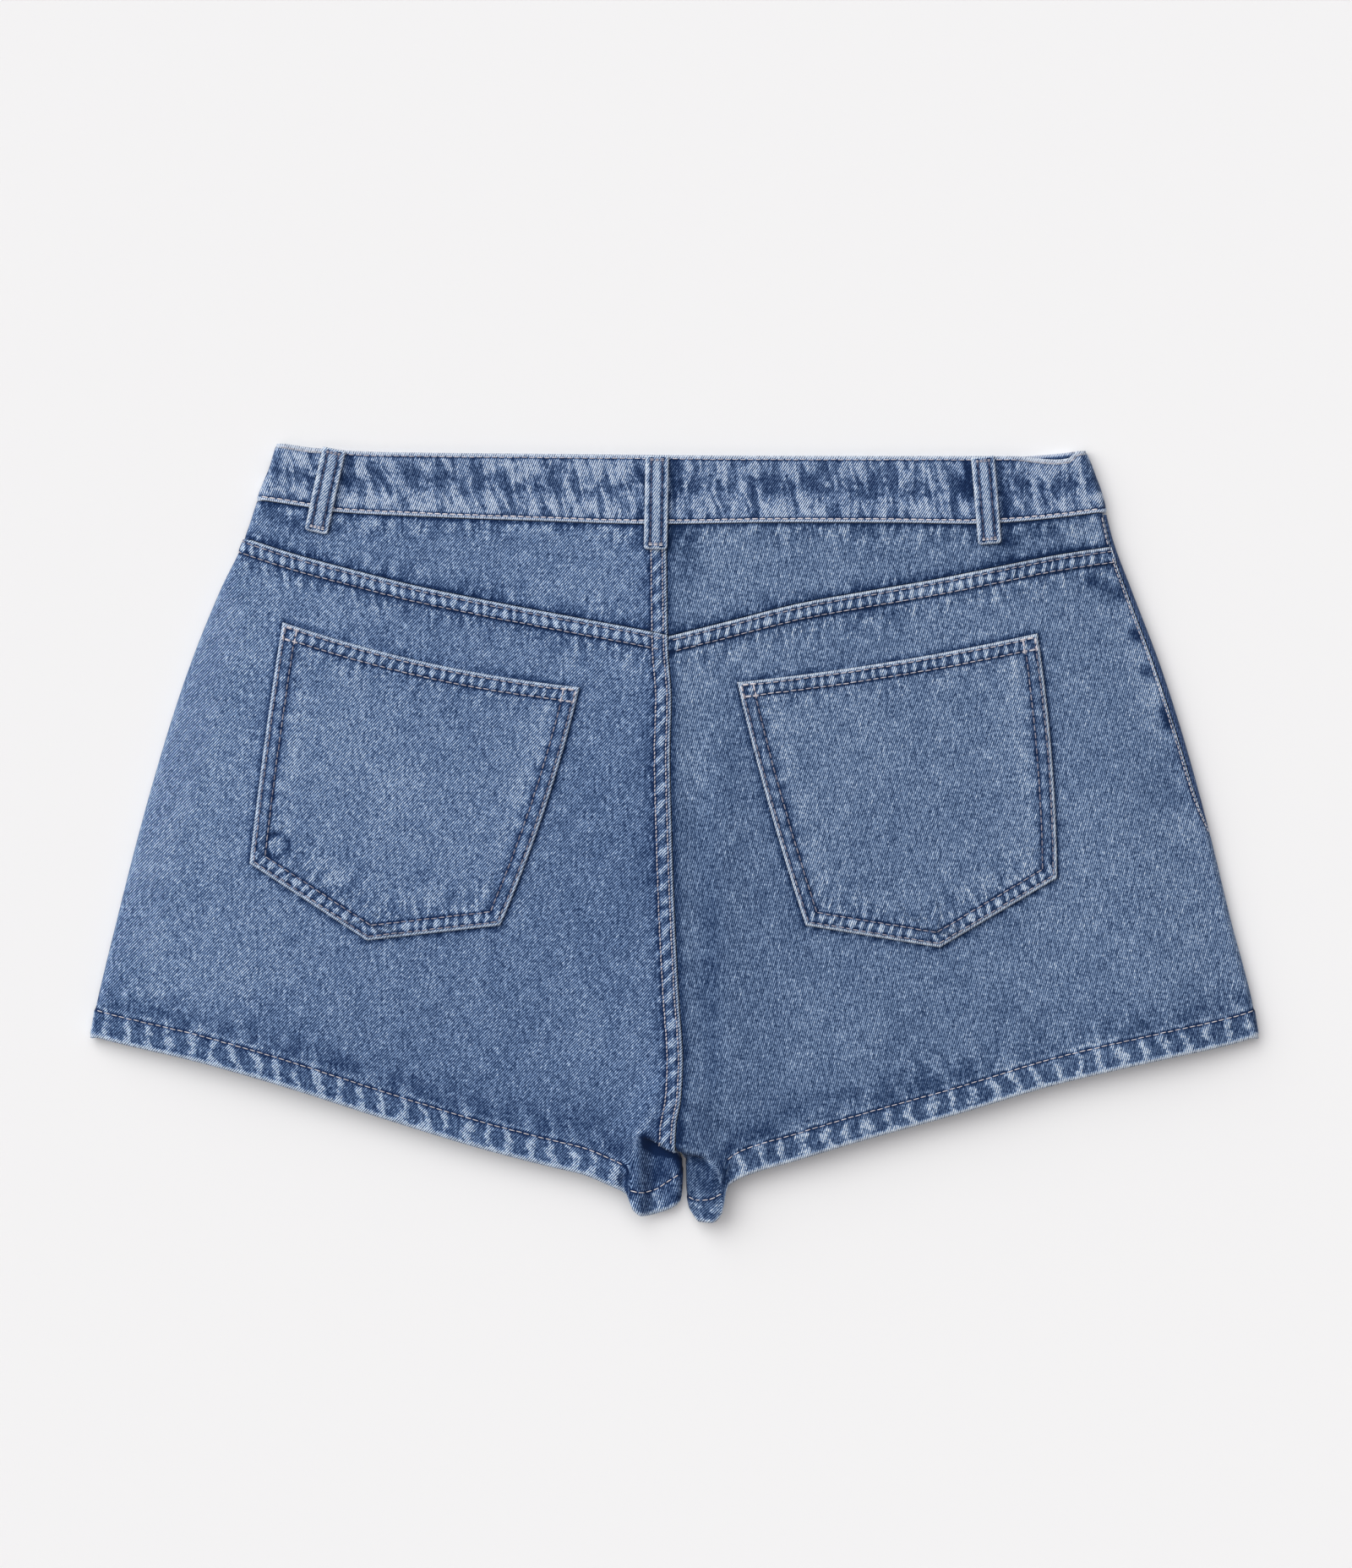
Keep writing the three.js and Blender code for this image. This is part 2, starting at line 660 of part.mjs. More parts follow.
function pocket(name, size) {
  const { topLeft, topRight, lowLeft, lowRight, tip } = size;
  const length = (a, b) => Math.hypot(a[0] - b[0], a[1] - b[1]);
  const tipShare = length(lowLeft, tip) / (length(lowLeft, tip) + length(tip, lowRight));
  const bow = (share) => 4 * share * (1 - share);
  const top = (s) => {
    const [x, y] = mixPoint(topLeft, topRight, s);
    return [x, y - size.topSag * bow(s)];
  };
  const bottom = (s) =>
    s < tipShare
      ? mixPoint(lowLeft, tip, s / tipShare)
      : mixPoint(tip, lowRight, (s - tipShare) / (1 - tipShare));
  const edge = (from, to, bulge) => (t) => {
    const [x, y] = mixPoint(from, to, t);
    return [x + bulge * bow(t), y];
  };
  const left = edge(topLeft, lowLeft, -size.leftBulge);
  const right = edge(topRight, lowRight, size.rightBulge);
  const face = patch(top, bottom, left, right);
  const rim = (span) => [0, (POCKET_EDGE - POCKET_RISE) / span, POCKET_EDGE / span];
  const alongX = rim(length(topLeft, topRight));
  const alongY = rim(length(topLeft, lowLeft));
  const innerX = [...steps(3, alongX[2], tipShare), ...steps(3, tipShare, 1 - alongX[2]).slice(1)];
  const sList = [...alongX.slice(0, 2), ...innerX, ...alongX.slice(0, 2).map((s) => 1 - s).reverse()];
  const tList = [
    ...alongY.slice(0, 2),
    ...steps(7, alongY[2], 1 - alongY[2]),
    ...alongY.slice(0, 2).map((t) => 1 - t).reverse(),
  ];
  const lift = GAP + CLOTH;
  const grid = tList.map((t) =>
    sList.map((s) => {
      const [x, y, z] = onBack(face(s, t));
      return [x, y, z + lift];
    }),
  );
  const nearEnd = (n, count) => n < 2 || n > count - 3;
  const relief = (i, j) => (nearEnd(i, tList.length) || nearEnd(j, sList.length) ? POCKET_RISE : 0);
  add(name, wall(grid, CLOTH, relief));
}

function beltLoop(name, { top, bottom, on }) {
  const along = new THREE.Vector2(bottom[0] - top[0], bottom[1] - top[1]).normalize();
  const grid = steps(8).map((t) => {
    const [x, y] = mixPoint(top, bottom, t);
    const onYoke = ease((bandLine(x) + 4 - y) / 6);
    const lift = mix(SEAM_RISE, on, onYoke) + GAP + LOOP_WALL + LOOP_ARCH * Math.sin(Math.PI * t);
    return steps(4, -LOOP_WIDTH / 2, LOOP_WIDTH / 2).map((aside) => {
      const spot = [x - along.y * aside, y + along.x * aside];
      return [...spot, onBack(spot)[2] + lift];
    });
  });
  add(name, wall(grid, LOOP_WALL), DENIM.band);
}

// ---- The garment ----------------------------------------------------------------------------

waistbandBack();
waistbandFront();
for (const [name, leg] of Object.entries(LEGS)) {
  yoke(`yoke_${name}`, leg);
  backLeg(`back_${name}`, leg);
  frontLeg(`front_${name}`, leg);
}
skirtFront();
for (const [name, size] of Object.entries(POCKETS)) pocket(name, size);
for (const [name, place] of Object.entries(LOOPS)) beltLoop(name, place);

export default skort;
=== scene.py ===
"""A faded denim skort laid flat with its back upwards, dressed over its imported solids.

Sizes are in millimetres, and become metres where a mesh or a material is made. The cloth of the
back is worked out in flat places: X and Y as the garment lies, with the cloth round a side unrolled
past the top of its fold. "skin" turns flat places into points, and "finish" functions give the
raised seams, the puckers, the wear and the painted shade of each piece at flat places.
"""

import math

import bmesh
import bpy
import numpy as np
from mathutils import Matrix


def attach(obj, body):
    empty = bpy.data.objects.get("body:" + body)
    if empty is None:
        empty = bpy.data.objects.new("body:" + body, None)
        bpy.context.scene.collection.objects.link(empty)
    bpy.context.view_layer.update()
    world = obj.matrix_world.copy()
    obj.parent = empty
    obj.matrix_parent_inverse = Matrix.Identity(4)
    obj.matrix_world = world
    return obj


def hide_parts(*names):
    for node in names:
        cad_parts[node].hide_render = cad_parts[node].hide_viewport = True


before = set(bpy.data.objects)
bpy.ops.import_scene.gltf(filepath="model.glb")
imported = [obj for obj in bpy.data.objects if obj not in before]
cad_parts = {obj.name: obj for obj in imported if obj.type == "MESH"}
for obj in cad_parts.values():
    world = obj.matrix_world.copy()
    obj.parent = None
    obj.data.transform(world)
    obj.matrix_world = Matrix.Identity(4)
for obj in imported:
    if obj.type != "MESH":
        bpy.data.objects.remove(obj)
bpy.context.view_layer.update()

MM = 0.001

# ---- Sizes of the cloth ---------------------------------------------------------------------

# Walls: one layer, the front's waistband, and the shells of the back's waistband and the loops.
CLOTH = 1.2
BAND = 2.4
FACED = 1.8
LOOP_WALL = 2.0

# Gaps between pieces, along a seam round a side, and at the centre seam.
GAP = 0.3
CURVED_GAP = 0.8
SEAM_GAP = 0.4

# The back turns round each side on this radius and goes on flat under it.
FOLD_RADIUS = 4.5
UNDER = 1.3
CROWN_REACH = 90.0

# Seams: the cloth's rise over one, the centre lap, and the hem. Rows are distances from an edge.
SEAM_RISE = 0.8
FELL_WIDTH = 8.7
FELL_ROWS = (2.3, 8.4)
HEM_DEPTH = 14.4
HEM_ROW = HEM_DEPTH + 0.3

# Lengths round a side are counted from half its height, where the arc is 0.
QUARTER = math.pi / 2 * FOLD_RADIUS
UNDER_ARC = -(QUARTER + UNDER)
SKIRT_LIFT = CLOTH + GAP
SKIRT_FLAT_ARC = UNDER_ARC - 2.5
FRONT_TOP = SKIRT_LIFT + CLOTH

# The lip over the crotch, the roll of each inner edge below it, and how far the fronts stay inside.
LIP_DROP = 6.6
LIP_LENGTH = 6.0
LIP_OVERHANG = 1.2
LIP_HALF_WIDTH = 21.0
LIP_FADE = 10.0
ROLL_RADIUS = 3.6
ROLL_ARC = math.pi / 2 * ROLL_RADIUS
FRONT_SHORTER = 5.0
FRONT_INSET = FOLD_RADIUS + UNDER + 2 * GAP + 1

POCKET_EDGE = 8.0
POCKET_ROWS = (2.1, 7.9)
TACK_ROWS = (1.5, 8.4)
TACK_BOX = 8.6
LOOP_WIDTH = 12.8
LOOP_ARCH = 1.1
LOOP_CORNER = 1.8
LOOP_ROW = 3.0

STITCH_PITCH = 4.1
STITCH_LENGTH = 3.3
STITCH_WIDTH = 0.85
STITCH_HEIGHT = 0.36
STITCH_RISE = 0.06
STITCH_SWAY = 0.12
STITCH_UNEVEN = 0.06

# So far from a seam that nothing of it reaches, for places where that seam has ended.
FAR = 99.0


# ---- Curves and patterns --------------------------------------------------------------------


def mix(a, b, share):
    return a + (b - a) * share


def ease(value):
    share = np.clip(value, 0, 1)
    return share * share * (3 - 2 * share)


def bump(distance, width):
    """A soft hill of height 1."""
    return np.exp(-((distance / width) ** 2))


def between(value, low, high, soft=0.6):
    """1 between two values and 0 outside, with soft ends."""
    return ease((value - low) / soft + 0.5) * ease((high - value) / soft + 0.5)


def curve(rows):
    """A smooth curve through rows of (place, value) that never overshoots them."""
    place, value = np.array(rows, float).T
    rate = np.diff(value) / np.diff(place)
    slope = np.concatenate(([rate[0]], np.zeros(len(rate) - 1), [rate[-1]]))
    before, after = rate[:-1], rate[1:]
    same = before * after > 0
    slope[1:-1][same] = (2 * before * after)[same] / (before + after)[same]

    def read(at):
        at = np.asarray(at, float)
        i = np.clip(np.searchsorted(place, at, side="right") - 1, 0, len(rate) - 1)
        span = place[i + 1] - place[i]
        s = (at - place[i]) / span
        rest = 1 - s
        inside = (
            rest**2 * (1 + 2 * s) * value[i]
            + s**2 * (3 - 2 * s) * value[i + 1]
            + span * s * rest * (rest * slope[i] - s * slope[i + 1])
        )
        low = value[0] + slope[0] * (at - place[0])
        high = value[-1] + slope[-1] * (at - place[-1])
        return np.where(s < 0, low, np.where(s > 1, high, inside))

    return read


def cloud(u, v, seed):
    """Smooth random hills and hollows from -1 to 1, about one unit across."""
    lattice = np.random.default_rng(seed).uniform(-1, 1, (97, 97))
    u, v = np.broadcast_arrays(np.asarray(u, float) + 37.3, np.asarray(v, float) + 41.7)
    i, j = np.floor(u).astype(int), np.floor(v).astype(int)
    a, b = ease(u - i), ease(v - j)
    i, j = i % 96, j % 96
    return mix(
        mix(lattice[i, j], lattice[i + 1, j], a),
        mix(lattice[i, j + 1], lattice[i + 1, j + 1], a),
        b,
    )


# ---- Outline and seams ----------------------------------------------------------------------

LEFT_EDGE = curve([
    (-112, -318.2), (-90, -313.7), (-48, -303.6), (0, -291.4), (48, -277.8), (90, -264.0),
    (131, -247.5), (158, -234.6), (181, -226.8), (195, -221.3), (212, -215.5),
])
RIGHT_EDGE = curve([
    (-112, 317.6), (-90, 313.3), (-48, 302.2), (0, 290.5), (48, 277.4), (90, 264.0),
    (131, 248.4), (158, 238.3), (181, 232.3), (195, 227.7), (212, 220.4),
])
CROWN = curve([(-210, 4.4), (-110, 5.4), (0, 6.4), (100, 5.8), (165, 3.6), (212, 2.6)])
WAIST = curve([
    (-216, 211.6), (-197, 208.8), (-160, 206.4), (-50, 205.2), (60, 204.3), (185, 204.2),
    (207, 205.6), (222, 207.6),
])
BAND_SEAM = curve([
    (-227, 180.4), (-200, 176.2), (-183, 173.4), (-148, 171.4), (-80, 168.8), (-10, 166.9),
    (60, 167.8), (120, 167.6), (160, 167.0), (178, 167.7), (207, 170.3), (234, 173.8),
])
CENTRE_SEAM = curve([
    (-178, -0.5), (-159, 0.5), (-144, 3.2), (-124, 4.1), (-88, 1.8), (-39, -0.6), (0, -1.9),
    (42, -2.8), (72, -2.1), (100, -3.9), (170, -4.9),
])
RIGHT_SEAM = curve([
    (-112, UNDER_ARC), (-50, UNDER_ARC), (-16, -3.6), (0, 0.8), (16, 4.4), (36, 5.4), (90, 5.9),
    (131, 5.5), (158, 4.4), (176, 3.6),
])
LIP = curve([(-24, -163), (-11.7, -167.6), (-0.9, -173), (10.8, -175.3), (24, -179)])
SKIRT_HEM = curve([
    (-318, -97), (-216, -123), (-105, -153), (-40, -165), (0, -168), (40, -165), (105, -152),
    (216, -122), (318, -97),
])

# Soft folds of the back: from (x, y) to (x, y), width, height. A trough has a negative height.
FOLDS = [
    (-2, -148, 4, -178, 17, 2.6),
    (-8, -140, -20, -163, 7, 1.3),
    (8, -142, 21, -172, 8, 0.9),
    (9, 60, 15, -130, 9, -1.0),
    (24, 10, 27, -140, 10, 0.7),
    (-30, 40, -26, -130, 16, 0.6),
    (-120, -105, -70, -172, 22, -0.9),
    (-190, -95, -205, -132, 24, 0.7),
    (105, -95, 90, -168, 24, 0.8),
    (235, 25, 275, -110, 20, 0.9),
    (205, -60, 215, -132, 20, -0.7),
    (-28, -188, -27, -203, 2.6, -2.4),
    (29, -184, 31, -196, 2.6, -2.0),
]

# Worn ridges and dark lines, most of them about the crotch and at the right side: from (x, y) to
# (x, y), width and wear. The dark lines about the crotch are painted shade: in the hole under the
# lip, along the lip and in the folds beside the tongues.
CREASES = [
    (-9.2, -148.8, -19.8, -162.6, 1.5, 0.28),
    (-19.8, -162.6, -25, -181, 1.2, 0.22),
    (-17, -165, -15, -169.5, 2, -1.3),
    (-15, -169.5, -9.5, -172.5, 2.2, -1.3),
    (-10, -173, 2.6, -176.5, 2.4, -0.9),
    (2, -176, 3.5, -183, 1.6, -0.9),
    (-16, -170, -10, -182, 5, -0.2),
    (249, 108.5, 251.5, 105.5, 3.3, -1.1),
    (254.5, 88, 257, 86.5, 2.7, -0.9),
    (265, 66, 268, 59, 3.3, -0.9),
    (228, 136, 242, 129, 4.5, -0.45),
    (247, 121, 261, 70, 8, 0.3),
    (264, 60, 280, 0, 10, 0.12),
    (214, 164, 231, 158, 8, 0.25),
    (-11.5, -166, -1, -171.4, 1, 0.3),
    (4, -171, 12, -173.2, 1.2, 0.3),
    (12, -173.2, 20, -180, 1.2, 0.25),
    (11, -177, 18, -182, 2, -0.4),
    (2.6, -186, 2, -200, 1.6, -0.45),
    (3.6, -158, 2.6, -167.5, 1.6, -0.45),
    (9, -10, 13, -150, 5, 0.08),
    (19.5, -40, 21, -160, 5, -0.1),
    (28, -60, 27, -165, 5, 0.06),
    (6, -154, 22.5, -184, 1.4, 0.25),
    (23.4, -184, 27, -197, 0.9, 0.4),
    (25.6, -183, 28.8, -195, 0.9, -0.5),
    (29.5, -184, 32, -192, 1, -0.35),
    (-25.6, -184, -26, -203, 1, -0.55),
    (130, 129, 188, 138.5, 5, 0.25),
    (184, 146.5, 205, 149.5, 3.5, -0.35),
    (209, 151, 232, 153, 3, -0.3),
    (196, 165, 208, 162, 4, -0.3),
    (-222, 176, -214, 168, 4, -0.25),
    (182, 163, 178, 142, 8, -0.4),
    (8, 168, 6, 140, 6, -0.22),
    (268, 42, 272, 18, 9, -0.25),
    (90, 60, 185, 64, 17, -0.14),
    (150, -122, 235, -118, 14, 0.14),
]


class Leg:
    """One leg's lines, and where its inner edges part from the centre: the start and the length."""

    def __init__(self, name, back_parting, front_parting, **lines):
        self.name = name
        self.side = -1 if name == "left" else 1
        self.back_parting, self.front_parting = back_parting, front_parting
        for line, rows in lines.items():
            setattr(self, line, curve(rows))

    def pick(self, left, right):
        return left if self.side < 0 else right


LEFT = Leg(
    "left",
    yoke=[
        (-236, 160.6), (-207, 151.1), (-175, 142.4), (-143, 134.3), (-112, 127.7), (-49, 115.6),
        (-17, 109.6), (-4, 106.8),
    ],
    hem=[
        (-318, -110.6), (-300, -115.2), (-262, -124.0), (-216, -137.0), (-160, -154.9),
        (-105, -171.8), (-68, -181.5), (-50, -185.8), (-36, -191.6), (-26.6, -196.5),
        (-23.0, -205.0), (-18, -208.4), (-5, -205.5), (2, -202.0),
    ],
    tongue_row=[(-25, -194.2), (-17.9, -195.7), (-10.4, -193.9), (-4.6, -190.2), (3, -185.4)],
    tongue_side=[(-205, 25.0), (-184, 25.0), (-163, 19.5)],
    inner=[(-202, 2.0), (-196, 3.2), (-186, 3.8), (-170, 4.1)],
    back_parting=(-171, 7),
    front_parting=(-172, 11),
)
RIGHT = Leg(
    "right",
    yoke=[
        (-3.6, 106.2), (34, 115.7), (68, 124.2), (103, 130.6), (138, 136.6), (172, 143.4),
        (207, 150.4), (238, 155.2),
    ],
    hem=[
        (9.2, -208.0), (13, -211.6), (20, -212.0), (25.6, -207.0), (28.4, -192.6), (42, -185.2),
        (60, -180.0), (97, -168.8), (152, -153.4), (207, -137.0), (260, -124.6), (304, -114.8),
        (318, -110.4),
    ],
    tongue_row=[(6, -197.7), (12, -199.9), (17.9, -199.4), (26, -195.8)],
    tongue_side=[(-212, 26.4), (-197, 26.4), (-184, 23.0), (-176, 18.5)],
    inner=[(-208, 9.2), (-201, 7.4), (-192, 6.1), (-170, 5.7)],
    back_parting=(-170, 7),
    front_parting=(-165, 10),
)
LEGS = (LEFT, RIGHT)

# Where the cloth along the inner edges begins to turn down, and over what length it does.
TURNING = (-172, 8)


def on_tongue(leg, x, y):
    """Whether a place is where the inside of a leg hangs out under the crotch."""
    return np.abs(x) < leg.tongue_side(y)


def hem_row(leg, x, y):
    """Height of the hem's stitches."""
    return np.where(on_tongue(leg, x, y), leg.tongue_row(x), leg.hem(x) + HEM_ROW)


def back_waist(x):
    """The back's upper edge, which dips near the right side and shows the front's inside."""
    return WAIST(x) - 3.4 * ease((x - 184) / 26) * ease((219 - x) / 6)


def side_edge(side, y):
    return LEFT_EDGE(y) if side < 0 else RIGHT_EDGE(y)


def fold_top(side, y):
    return side_edge(side, y) - side * FOLD_RADIUS


def parted(parting, y):
    start, length = parting
    return ease((start - y) / length)


def centre_edge(leg, y):
    return CENTRE_SEAM(y) + leg.pick(0, SEAM_GAP)


def inner_edge(leg, y):
    return mix(centre_edge(leg, y), leg.inner(y), parted(leg.back_parting, y))


def meet(line, edge_x):
    """Height at which a line across the garment meets an edge that runs up it."""
    y = 0.0
    for _ in range(20):
        y = float(line(edge_x(y)))
    return y


# ---- The skin of the back -------------------------------------------------------------------


def near_line(x, y, x0, y0, x1, y1, width):
    """A soft ridge of height 1 from (x0, y0) to (x1, y1)."""
    dx, dy = x1 - x0, y1 - y0
    share = np.clip(((x - x0) * dx + (y - y0) * dy) / (dx * dx + dy * dy), 0, 1)
    return bump(np.hypot(x - x0 - share * dx, y - y0 - share * dy), width)


def ridges(x, y, lines):
    return sum(height * near_line(x, y, *line, width) for *line, width, height in lines)


def crown_height(x, y):
    inside = np.minimum(x - fold_top(-1, y), fold_top(1, y) - x)
    reach = 1 - np.clip(inside / CROWN_REACH, 0, 1)
    crown = CROWN(y) * (1 - reach**2)
    return 2 * FOLD_RADIUS + crown + ridges(x, y, FOLDS) * ease(inside / 12)


def on_back(x, y):
    """The back over X and Y. It drops over the lip at the crotch, which overhangs the drop."""
    strength = ease((LIP_HALF_WIDTH - np.abs(x)) / LIP_FADE)
    through = ease((LIP(x) - y) / LIP_LENGTH + 0.5)
    forward = LIP_OVERHANG * strength * np.sin(2 * math.pi * through)
    height = crown_height(x, y) - LIP_DROP * strength * through
    return np.stack(np.broadcast_arrays(x, y - forward, height), axis=-1)


def on_side(side, y, arc):
    angle = np.clip(arc / FOLD_RADIUS, -math.pi / 2, math.pi / 2)
    beyond = np.abs(arc - angle * FOLD_RADIUS)
    inwards = FOLD_RADIUS * (1 - np.cos(angle)) + beyond
    height = FOLD_RADIUS * (1 + np.sin(angle))
    return np.stack(np.broadcast_arrays(side_edge(side, y) - side * inwards, y, height), axis=-1)


def roll(turn, distance):
    """How far a strip goes on and how far it drops as its cloth turns down."""
    bend = np.maximum(turn, 1e-5) / ROLL_RADIUS
    curved = np.minimum(distance, ROLL_ARC)
    straight = distance - curved
    angle = bend * curved
    onwards = np.sin(angle) / bend + straight * np.cos(angle)
    drop = (1 - np.cos(angle)) / bend + straight * np.sin(angle)
    return onwards, drop


def strip(leg, y):
    """The strip along a leg's inner edge: its turn, its cloth and the X where it starts."""
    turn = parted(TURNING, y)
    edge = inner_edge(leg, y)
    tongue_top = crown_height(edge, y) - LIP_DROP
    cloth = ROLL_ARC + turn * (tongue_top - ROLL_RADIUS - FRONT_TOP - GAP)
    return turn, cloth, edge + leg.side * roll(turn, cloth)[0]


def skin(x, y, leg=None):
    """Points of the back's outer face at flat places."""
    x, y = np.broadcast_arrays(np.asarray(x, float), np.asarray(y, float))
    left, right = fold_top(-1, y), fold_top(1, y)
    points = on_back(np.clip(x, left, right), y)
    for side, past in ((-1, left - x), (1, x - right)):
        round_side = on_side(side, y, QUARTER - np.maximum(past, 0))
        points = np.where((past > 0)[..., None], round_side, points)
    if leg:
        turn, _, start = strip(leg, y)
        past = (start - x) * leg.side
        onwards, drop = roll(turn, np.maximum(past, 0))
        rolled = on_back(start - leg.side * onwards, y)
        level = mix(rolled[..., 2], on_back(start, y)[..., 2], turn)
        rolled = np.concatenate([rolled[..., :2], (level - drop)[..., None]], axis=-1)
        points = np.where((past > 0)[..., None], rolled, points)
    return points


def normals(x, y, leg=None, step=0.3):
    across = skin(x + step, y, leg) - skin(x - step, y, leg)
    up = skin(x, y + step, leg) - skin(x, y - step, leg)
    normal = np.cross(across, up)
    return normal / np.linalg.norm(normal, axis=-1, keepdims=True)


def raised(x, y, lift, leg=None):
    """The skin lifted along its normals, but flat where the garment rests."""
    past = np.maximum(fold_top(-1, y) - x, x - fold_top(1, y))
    lift = lift * ease(2 - past / QUARTER)
    return skin(x, y, leg) + normals(x, y, leg) * lift[..., None]


# ---- Finish of each piece -------------------------------------------------------------------


def mottle(x, y, seed):
    return 0.06 * cloud(x / 38, y / 46, seed) + 0.07 * cloud(x / 8, y / 13, seed + 1)


def broad_tone(x, y):
    """Broad tone: a little lighter at the far left, darker about the middle from below the yoke
    down, and darker over the hem.
    """
    hem = np.where(x < 0, LEFT.hem(np.minimum(x, 0)), RIGHT.hem(np.maximum(x, 9)))
    over_hem = np.clip(1 - (y - hem) / 75, 0, 1)
    near_centre = bump(x, 110) * ease((120 - y) / 80)
    return 0.05 * ease((-190 - x) / 60) - 0.12 * near_centre - 0.26 * over_hem**2


def round_edge(distance, radius=0.9):
    """How far the face comes down at a turned edge."""
    near = np.clip(1 - distance / radius, 0, 1)
    return -radius * 0.8 * (1 - np.sqrt(1 - near**2 * 0.98))


class Finish:
    """How a piece's outer face is worn, and where shade is painted on it, at its flat places.

    lift is how far it is raised. wear goes from -1, never rubbed or deep in painted shade, to 1,
    rubbed light, and pale from 0 to 1 where an edge is worn white. pucker and fray, from 0 to 1,
    say how much of the gathers and of the streaks of a seam the cloth there has, pull how strongly
    that seam holds it, and along and away where on the seam it is.
    """

    def __init__(self, x, y, seed):
        self.seed = seed
        self.wear_and_shade = mottle(x, y, seed)
        self.lift, self.pale, self.pucker, self.fray, self.pull = (0 * self.wear_and_shade for _ in range(5))
        self.along, self.away = x / 6, y / 10

    def seam(
        self, along, away, pitch, reach, lap=0, strength=1.0, slant=0.0, bars=1.0, narrow=0.0
    ):
        """A seam whose lap puckers to just past its last row, and beyond that leaves streaks.

        Where both pucker and fray are above 0, the puckers are narrow ridges.
        """
        self.seed += 3
        held = bars * between(away, -3, lap + 1.6, 2.2) if lap else 0 * away
        uneven = 1 + 0.55 * cloud(along / (1.8 * pitch), 0.5, self.seed)
        past = away - lap
        freed = strength * bump(np.maximum(past, 0), reach * uneven) * ease(past / 0.8 + 0.5)
        pull = np.maximum(held, freed)
        here = (pull > self.pull) & (away > -1)
        self.pull = np.where(here, pull, self.pull)
        self.pucker = np.where(here, held, self.pucker)
        self.fray = np.where(here, np.maximum(freed, narrow * held), self.fray)
        self.along = np.where(here, (along + slant * away) / pitch, self.along)
        self.away = np.where(here, away / 10, self.away)
        self.lift += 0.18 * freed * cloud(along / pitch, away / (2 * pitch), self.seed + 1)
        self.lift += 0.15 * held * cloud(along / (0.7 * pitch), away / pitch, self.seed + 2)

    def hollow(self, distance, reach, depth):
        """Cloth on one side of a line, darkened: painted shade beside a raised edge, on cloth that
        nothing rubs.
        """
        self.wear_and_shade -= depth * bump(distance, reach) * (distance > -1)

    def row(self, distance, share=1.0):
        """A row of stitches draws the cloth in, and painted shade darkens the groove along it."""
        drawn = share * bump(distance, 0.95)
        self.wear_and_shade -= 0.95 * drawn
        self.lift -= 0.25 * drawn

    def edge(self, distance, width=1.9, white=0.6, share=1.0, radius=0.9):
        """A turned edge, rubbed light."""
        light = share * between(distance, -2, width)
        self.wear_and_shade = mix(self.wear_and_shade, 0.55, light)
        self.pucker *= 1 - 0.7 * light
        self.pale += share * white * between(distance, -2, width * 0.55)
        self.lift += share * round_edge(distance, radius)


class Loop:
    """A belt loop: its upper and lower middle, the rise under its lower part, its twill's lean."""

    def __init__(self, top, bottom, rise, lean, seed):
        self.top, self.bottom = np.array(top), np.array(bottom)
        self.rise, self.lean, self.seed = rise, lean, seed
        self.length = np.linalg.norm(self.bottom - self.top)
        self.down = (self.bottom - self.top) / self.length
        self.across = np.array([-self.down[1], self.down[0]])

    def places(self, far, aside):
        """X and Y at this distance down the loop's middle line and aside from it."""
        return [self.top[n] + self.down[n] * far + self.across[n] * aside for n in (0, 1)]

    def beside(self, x, y):
        """Distance from the loop's sides, outwards."""
        share = (y - self.top[1]) / (self.bottom[1] - self.top[1])
        return np.abs(x - mix(self.top[0], self.bottom[0], share)) - LOOP_WIDTH / 2

    def finish(self, x, y):
        f = Finish(x, y, self.seed)
        far = (x - self.top[0]) * self.down[0] + (y - self.top[1]) * self.down[1]
        aside = (x - self.top[0]) * self.across[0] + (y - self.top[1]) * self.across[1]
        left = self.length - far
        on_yoke = ease((BAND_SEAM(x) + 4 - y) / 6)
        f.lift += mix(SEAM_RISE, self.rise, on_yoke) + GAP + LOOP_WALL
        f.lift += LOOP_ARCH * np.sin(math.pi * np.clip(far / self.length, 0, 1))
        # The loop's cloth is lighter, with painted shade in the grooves along its two rows.
        f.wear_and_shade += 0.24 - 0.42 * bump(np.abs(aside) - 3.3, 0.9)
        f.fray = 0.8 * between(np.abs(aside), 2.6, 9, 1)
        f.along, f.away = far / 9 + 0.5 * (aside > 0), aside / 8
        f.row(np.abs(aside) - LOOP_ROW)
        f.wear_and_shade -= 0.4 * between(left, 1.6, 4.2, 0.8) + 0.35 * between(far, 1.2, 3.4, 0.8)
        f.edge(LOOP_WIDTH / 2 - np.abs(aside), width=1.1, radius=1.1)
        f.edge(left, width=1.3, white=0.7, radius=1.0)
        f.edge(far, width=1.0, white=0.5, radius=0.8)
        return f


LOOPS = {
    "belt_loop_left": Loop((-184.8, 208.0), (-194.8, 162.6), rise=0.0, lean=44, seed=116),
    "belt_loop_centre": Loop((-9.7, 204.4), (-10.6, 153.2), rise=SEAM_RISE, lean=32, seed=291),
    "belt_loop_right": Loop((166.8, 203.8), (170.8, 156.2), rise=0.0, lean=26, seed=466),
}


def loop_shadow(x, y):
    """Cloth beside a belt loop is darker: painted shade from the loop, and cloth that is never
    rubbed.
    """
    reach = 5.5 + 3 * cloud(x / 9, y / 6, 71)
    total = sum(
        between(loop.beside(x, y), -20, reach, 5) * ease((y - loop.bottom[1] + 3) / 5)
        for loop in LOOPS.values()
    )
    return np.clip(total, 0, 1)


